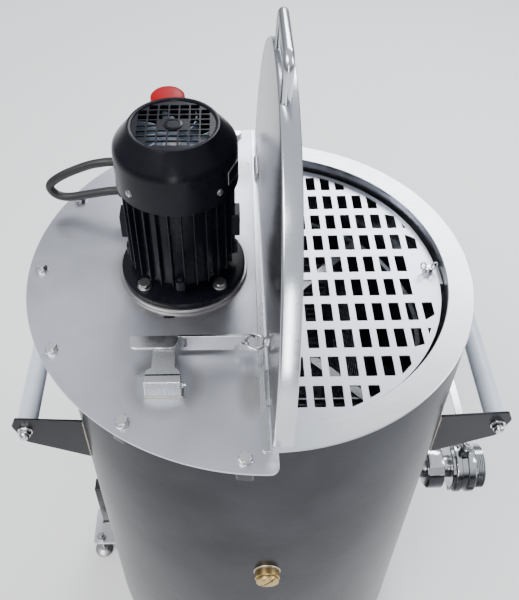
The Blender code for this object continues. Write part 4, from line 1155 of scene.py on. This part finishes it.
def build_stay():
    bar = [
        (-0.103, 0.0365), (-0.103, 0.0145), (-0.1015, 0.0115), (-0.0985, 0.011), (-0.0365, 0.011),
        (-0.0362, 0.019), (-0.035, 0.0203), (-0.0318, 0.0203), (-0.0305, 0.019), (-0.03, 0.011),
        (-0.02, 0.011),
    ]
    bar += arc(0.008, -90.0, 0.0, 5, (-0.02, 0.019))
    bar += arc(0.008, 0.0, 90.0, 5, (-0.02, 0.0285))
    plate = prism(bar, 0.142, 0.145)
    plate = moved(turned(plate, "X", 90.0), z=RIM)
    hole = moved(along_y(pin(0.0048, -0.16, -0.12, 40)), -0.024, 0.0, rim(0.025))
    slot = moved(
        turned(prism(rounded((-0.0965, -0.0925), (0.0165, 0.033), 0.0019), 0.12, 0.16), "X", 90.0), z=RIM
    )
    put("stay_blade", plate, "bright", "stay", node="stay_bar", bevel=0.0005, cut=[hole, slot])
    tab = [
        (-0.1015, -0.1425), (-0.1572, -0.1425), (-0.158, -0.1435), (-0.158, -0.154), (-0.1565, -0.1578),
        (-0.1535, -0.16), (-0.149, -0.161), (-0.11, -0.161), (-0.1065, -0.16), (-0.104, -0.1575),
        (-0.1025, -0.153), (-0.1015, -0.148),
    ]
    put("stay_tab", prism(tab, rim(0.0334), rim(0.0364)), "bright", "stay", bevel=0.0007)


# ---------------------------------------------------------------- grille


def clipped_hole(x, y, edge):
    """A rounded hole, or one whose outer end is cut off along the circle of this radius."""
    flip = 1.0 if y[0] + y[1] >= 0.0 else -1.0
    near, far = sorted((flip * y[0], flip * y[1]))
    if math.hypot(x[1], far) <= edge:
        return rounded(x, y, 0.001, 2)
    if math.hypot(x[0], near) > edge or x[1] > edge:
        return []
    first, last = (min(far, math.sqrt(edge**2 - value**2)) for value in x)
    if first - near < 0.008:
        return []
    if last - near > 0.003:
        outline = [(x[0], near), (x[1], near), (x[1], last), (x[0], first)]
    else:
        outline = [(x[0], near), (math.sqrt(edge**2 - (near + 0.001) ** 2), near), (x[0], first)]
    return outline if flip > 0.0 else [(a, -b) for a, b in reversed(outline)]


def build_grille():
    low = rim(-0.0186)
    turn = math.degrees(math.acos(0.01 / GRILLE_R))
    holes = []
    edge = GRILLE_R - 0.0065
    for column in range(10):
        for row in range(10):
            x = (0.0323 + 0.0217 * column, 0.0458 + 0.0217 * column)
            y = ((row - 4.5) * 0.043 - 0.015, (row - 4.5) * 0.043 + 0.015)
            if x[1] > 0.205 and y[0] < 0.022 and y[1] > -0.012:
                continue
            outline = clipped_hole(x, y, edge)
            if outline:
                holes.append(prism(outline, low - 0.01, low + 0.01))
    holes.append(moved(pin(0.0034, low - 0.01, low + 0.01, 24), *WING))
    put(
        "grille_plate", prism(arc(GRILLE_R, -turn, turn, 160), low, low + 0.002), "plate", "grille",
        node="guard_grille", bevel=0.0003, cut=[merged(*holes)],
    )
    for side in (-0.17, 0.0, 0.17):
        roll = along_y(spindle((0.0, 0.0024, 0.0028), side - 0.018, side + 0.018, 0.0006, 24))
        roll = moved(roll, 0.0105, 0.0, low - 0.0022)
        put(f"grille_roll_{int(side * 100) + 20}", roll, "ring", "grille")
    top = rim(-0.0163)
    shank = merged(
        thread(0.003, top - 0.013, top, 0.001),
        lathe(
            [
                (0.0, top), (0.0068, top), (0.007, top + 0.0012), (0.0058, top + 0.004),
                (0.0048, top + 0.0078), (0.0036, top + 0.0088), (0.0, top + 0.009),
            ],
            36,
        ),
    )
    wings = []
    for side in (-1.0, 1.0):
        loop = []
        for step in range(20):
            angle = 2.0 * math.pi * step / 20
            loop.append(
                (
                    side * (0.0072 + 0.0036 * math.cos(angle) + 0.0012 * math.sin(angle)), 0.0,
                    top + 0.0105 + 0.0062 * math.sin(angle),
                )
            )
        wings.append(tube(loop, 0.0011, 12, closed=True))
    put("wing_shape", moved(merged(shank, *wings), *WING), "bright", "wing", node="wing_screw")
    shelf = prism(rounded((0.2145, 0.242), (-0.015, 0.017), 0.0025), low - 0.0033, low - 0.0003)
    put(
        "ledge_shelf", shelf, "ring", node="grille_ledge", bevel=0.0005,
        cut=[moved(pin(0.004, low - 0.02, low + 0.01, 24), *WING)],
    )
    put("ledge_tab", box((0.2395, 0.242), (-0.015, 0.017), (low - 0.0303, low - 0.001)), "ring", bevel=0.0008)


# ---------------------------------------------------------------- inside


def build_inside():
    for node, look in (
        ("motor_stator", "machined"),
        ("motor_rotor", "machined"),
        ("valve_ball", "bright"),
    ):
        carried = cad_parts[node]
        carried.data.materials.clear()
        carried.data.materials.append(M[look])
    profile = [
        (0.0, 0.2655), (0.0068, 0.2655), (0.0075, 0.2662), (0.0075, rim(-0.037)), (0.0068, rim(-0.0362)),
        (0.0, rim(-0.0362)),
    ]
    put("shaft_shape", lathe(profile, 40), "machined", "cage", node="main_shaft")
    low, high = rim(-0.062), rim(-0.042)
    wheel = [
        (0.0078, low), (0.0175, low), (0.018, low + 0.004), (0.044, low + 0.007), (0.044, low),
        (0.053, low), (0.053, low + 0.0022), (0.0508, low + 0.0028), (0.0508, high - 0.0028),
        (0.053, high - 0.0022), (0.053, high), (0.044, high), (0.044, high - 0.007), (0.018, high - 0.004),
        (0.0175, high), (0.0078, high),
    ]
    put("large_pulley", lathe(wheel, 96), "aluminium", "cage", node="driven_pulley")
    small = [
        (0.0073, low), (0.0188, low), (0.0188, low + 0.0022), (0.0168, low + 0.0028),
        (0.0168, high - 0.0028), (0.0188, high - 0.0022), (0.0188, high), (0.0073, high),
    ]
    put("small_pulley", moved(lathe(small, 64), MOTOR_X), "aluminium", "rotor", node="drive_pulley")
    lean = math.degrees(math.acos((0.051 - 0.017) / 0.1015))

    def loop(extra):
        points = arc(0.0512 + extra, -(180.0 - lean), 180.0 - lean, 64)
        return points + arc(0.0172 + extra, 180.0 - lean, 180.0 + lean, 40, (MOTOR_X, 0.0))

    put(
        "belt_shape", prism(loop(0.003), low + 0.003, high - 0.003, inner=loop(0.0)), "rubber",
        node="drive_belt", bevel=0.0004,
    )
    bar = prism(rounded((-0.02, 0.02), (-0.2415, 0.2415), 0.003), rim(-0.085), rim(-0.079))
    put(
        "crossbar_shape", bar, "tank", node="crossbar", bevel=0.0008,
        cut=[pin(0.008, rim(-0.1), rim(-0.05), 40)],
    )
    boss = [
        (0.008, -0.0788), (0.025, -0.0788), (0.025, -0.0745), (0.0185, -0.0735), (0.0175, -0.0668),
        (0.0165, -0.066), (0.008, -0.066),
    ]
    put("bearing_shape", moved(lathe(boss, 64), z=RIM), "machined")
    tabs = []
    for side in (-0.2394, 0.2394):
        tabs.append(
            prism(rounded((-0.02, 0.02), (side - 0.002, side + 0.002), 0.0008), rim(-0.112), rim(-0.0845))
        )
        for x in (-0.011, 0.011):
            bolt = hexagon(0.0055, 0.0, 0.0035, 0.0005)
            bolt = along_y(bolt) if side < 0.0 else turned(bolt, "X", 90.0)
            tabs.append(moved(bolt, x, side + (0.0021 if side < 0.0 else -0.0021), rim(-0.099)))
    put("crossbar_tabs", merged(*tabs), "tank")
    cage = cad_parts["frame_cage"]
    cage.data.materials.clear()
    cage.data.materials.append(M["tank"])
    edge = cage.modifiers.new("bevel", "BEVEL")
    edge.width = 0.0005
    edge.limit_method = "ANGLE"
    lines = [[(step * 0.0125, -0.134, z) for z in (0.308, 0.672)] for step in range(-9, 10)]
    lines += [[(x, -0.1347, 0.315 + 0.013 * step) for x in (-0.128, 0.128)] for step in range(28)]
    wires = [turned(tube(line, 0.0007, 6), "Z", 90.0 * side) for side in range(4) for line in lines]
    put("screen_wires", merged(*wires), "tank", "cage")


# ---------------------------------------------------------------- stage


def build_stage():
    floor = bmesh.new()
    bmesh.ops.create_grid(floor, x_segments=24, y_segments=24, size=7.0)
    moved(floor, z=-0.0142)
    ground = make("floor", floor, None)
    made, tree, shader = shader_of("floor_paint")
    soft = noise(tree, 0.8, (1.0, 1.0, 1.0), 3.0)
    fill(tree, shader, Base_Color=mixed(tree, soft, (0.93, 0.93, 0.93), (0.96, 0.96, 0.96)))
    shader.inputs["Roughness"].default_value = 0.85
    ground.data.materials.append(made)
    world = bpy.data.worlds.new("world")
    bpy.context.scene.world = world
    world.use_nodes = True
    tree = world.node_tree
    coords = tree.nodes.new("ShaderNodeTexCoord")
    parts = tree.nodes.new("ShaderNodeSeparateXYZ")
    ramp = tree.nodes.new("ShaderNodeValToRGB")
    ramp.color_ramp.elements[0].position = 0.42
    ramp.color_ramp.elements[0].color = (0.1, 0.105, 0.115, 1.0)
    ramp.color_ramp.elements[1].position = 0.85
    ramp.color_ramp.elements[1].color = (0.85, 0.88, 0.92, 1.0)
    tree.links.new(coords.outputs["Generated"], parts.inputs["Vector"])
    tree.links.new(ranged(tree, parts.outputs["Z"], -1.0, 1.0, 0.0, 1.0), ramp.inputs["Fac"])
    tree.links.new(ramp.outputs["Color"], tree.nodes["Background"].inputs["Color"])
    tree.nodes["Background"].inputs["Strength"].default_value = 1.0
    for name, place, size, power, colour in (
        ("key", (-1.3, -0.9, 3.2), (1.8, 1.2), 75.0, (1.0, 0.99, 0.97)),
        ("back", (0.9, 2.4, 2.6), (2.2, 1.0), 80.0, (0.93, 0.96, 1.0)),
        ("strip", (-0.2, -3.0, 1.5), (0.22, 2.2), 26.0, (1.0, 1.0, 1.0)),
        ("side", (2.6, -0.2, 2.0), (0.7, 1.4), 40.0, (0.95, 0.97, 1.0)),
    ):
        data = bpy.data.lights.new(name, "AREA")
        data.shape = "RECTANGLE"
        data.size, data.size_y = size
        data.energy = power
        data.color = colour
        light = bpy.data.objects.new(name, data)
        light.location = place
        aim = Vector((0.0, 0.0, 0.7)) - Vector(place)
        light.rotation_euler = aim.to_track_quat("-Z", "Y").to_euler()
        bpy.context.scene.collection.objects.link(light)


build_drum()
build_plug()
build_handles()
build_outlet()
build_cover()
build_motor()
build_lid()
build_stay()
build_grille()
build_inside()
build_stage()
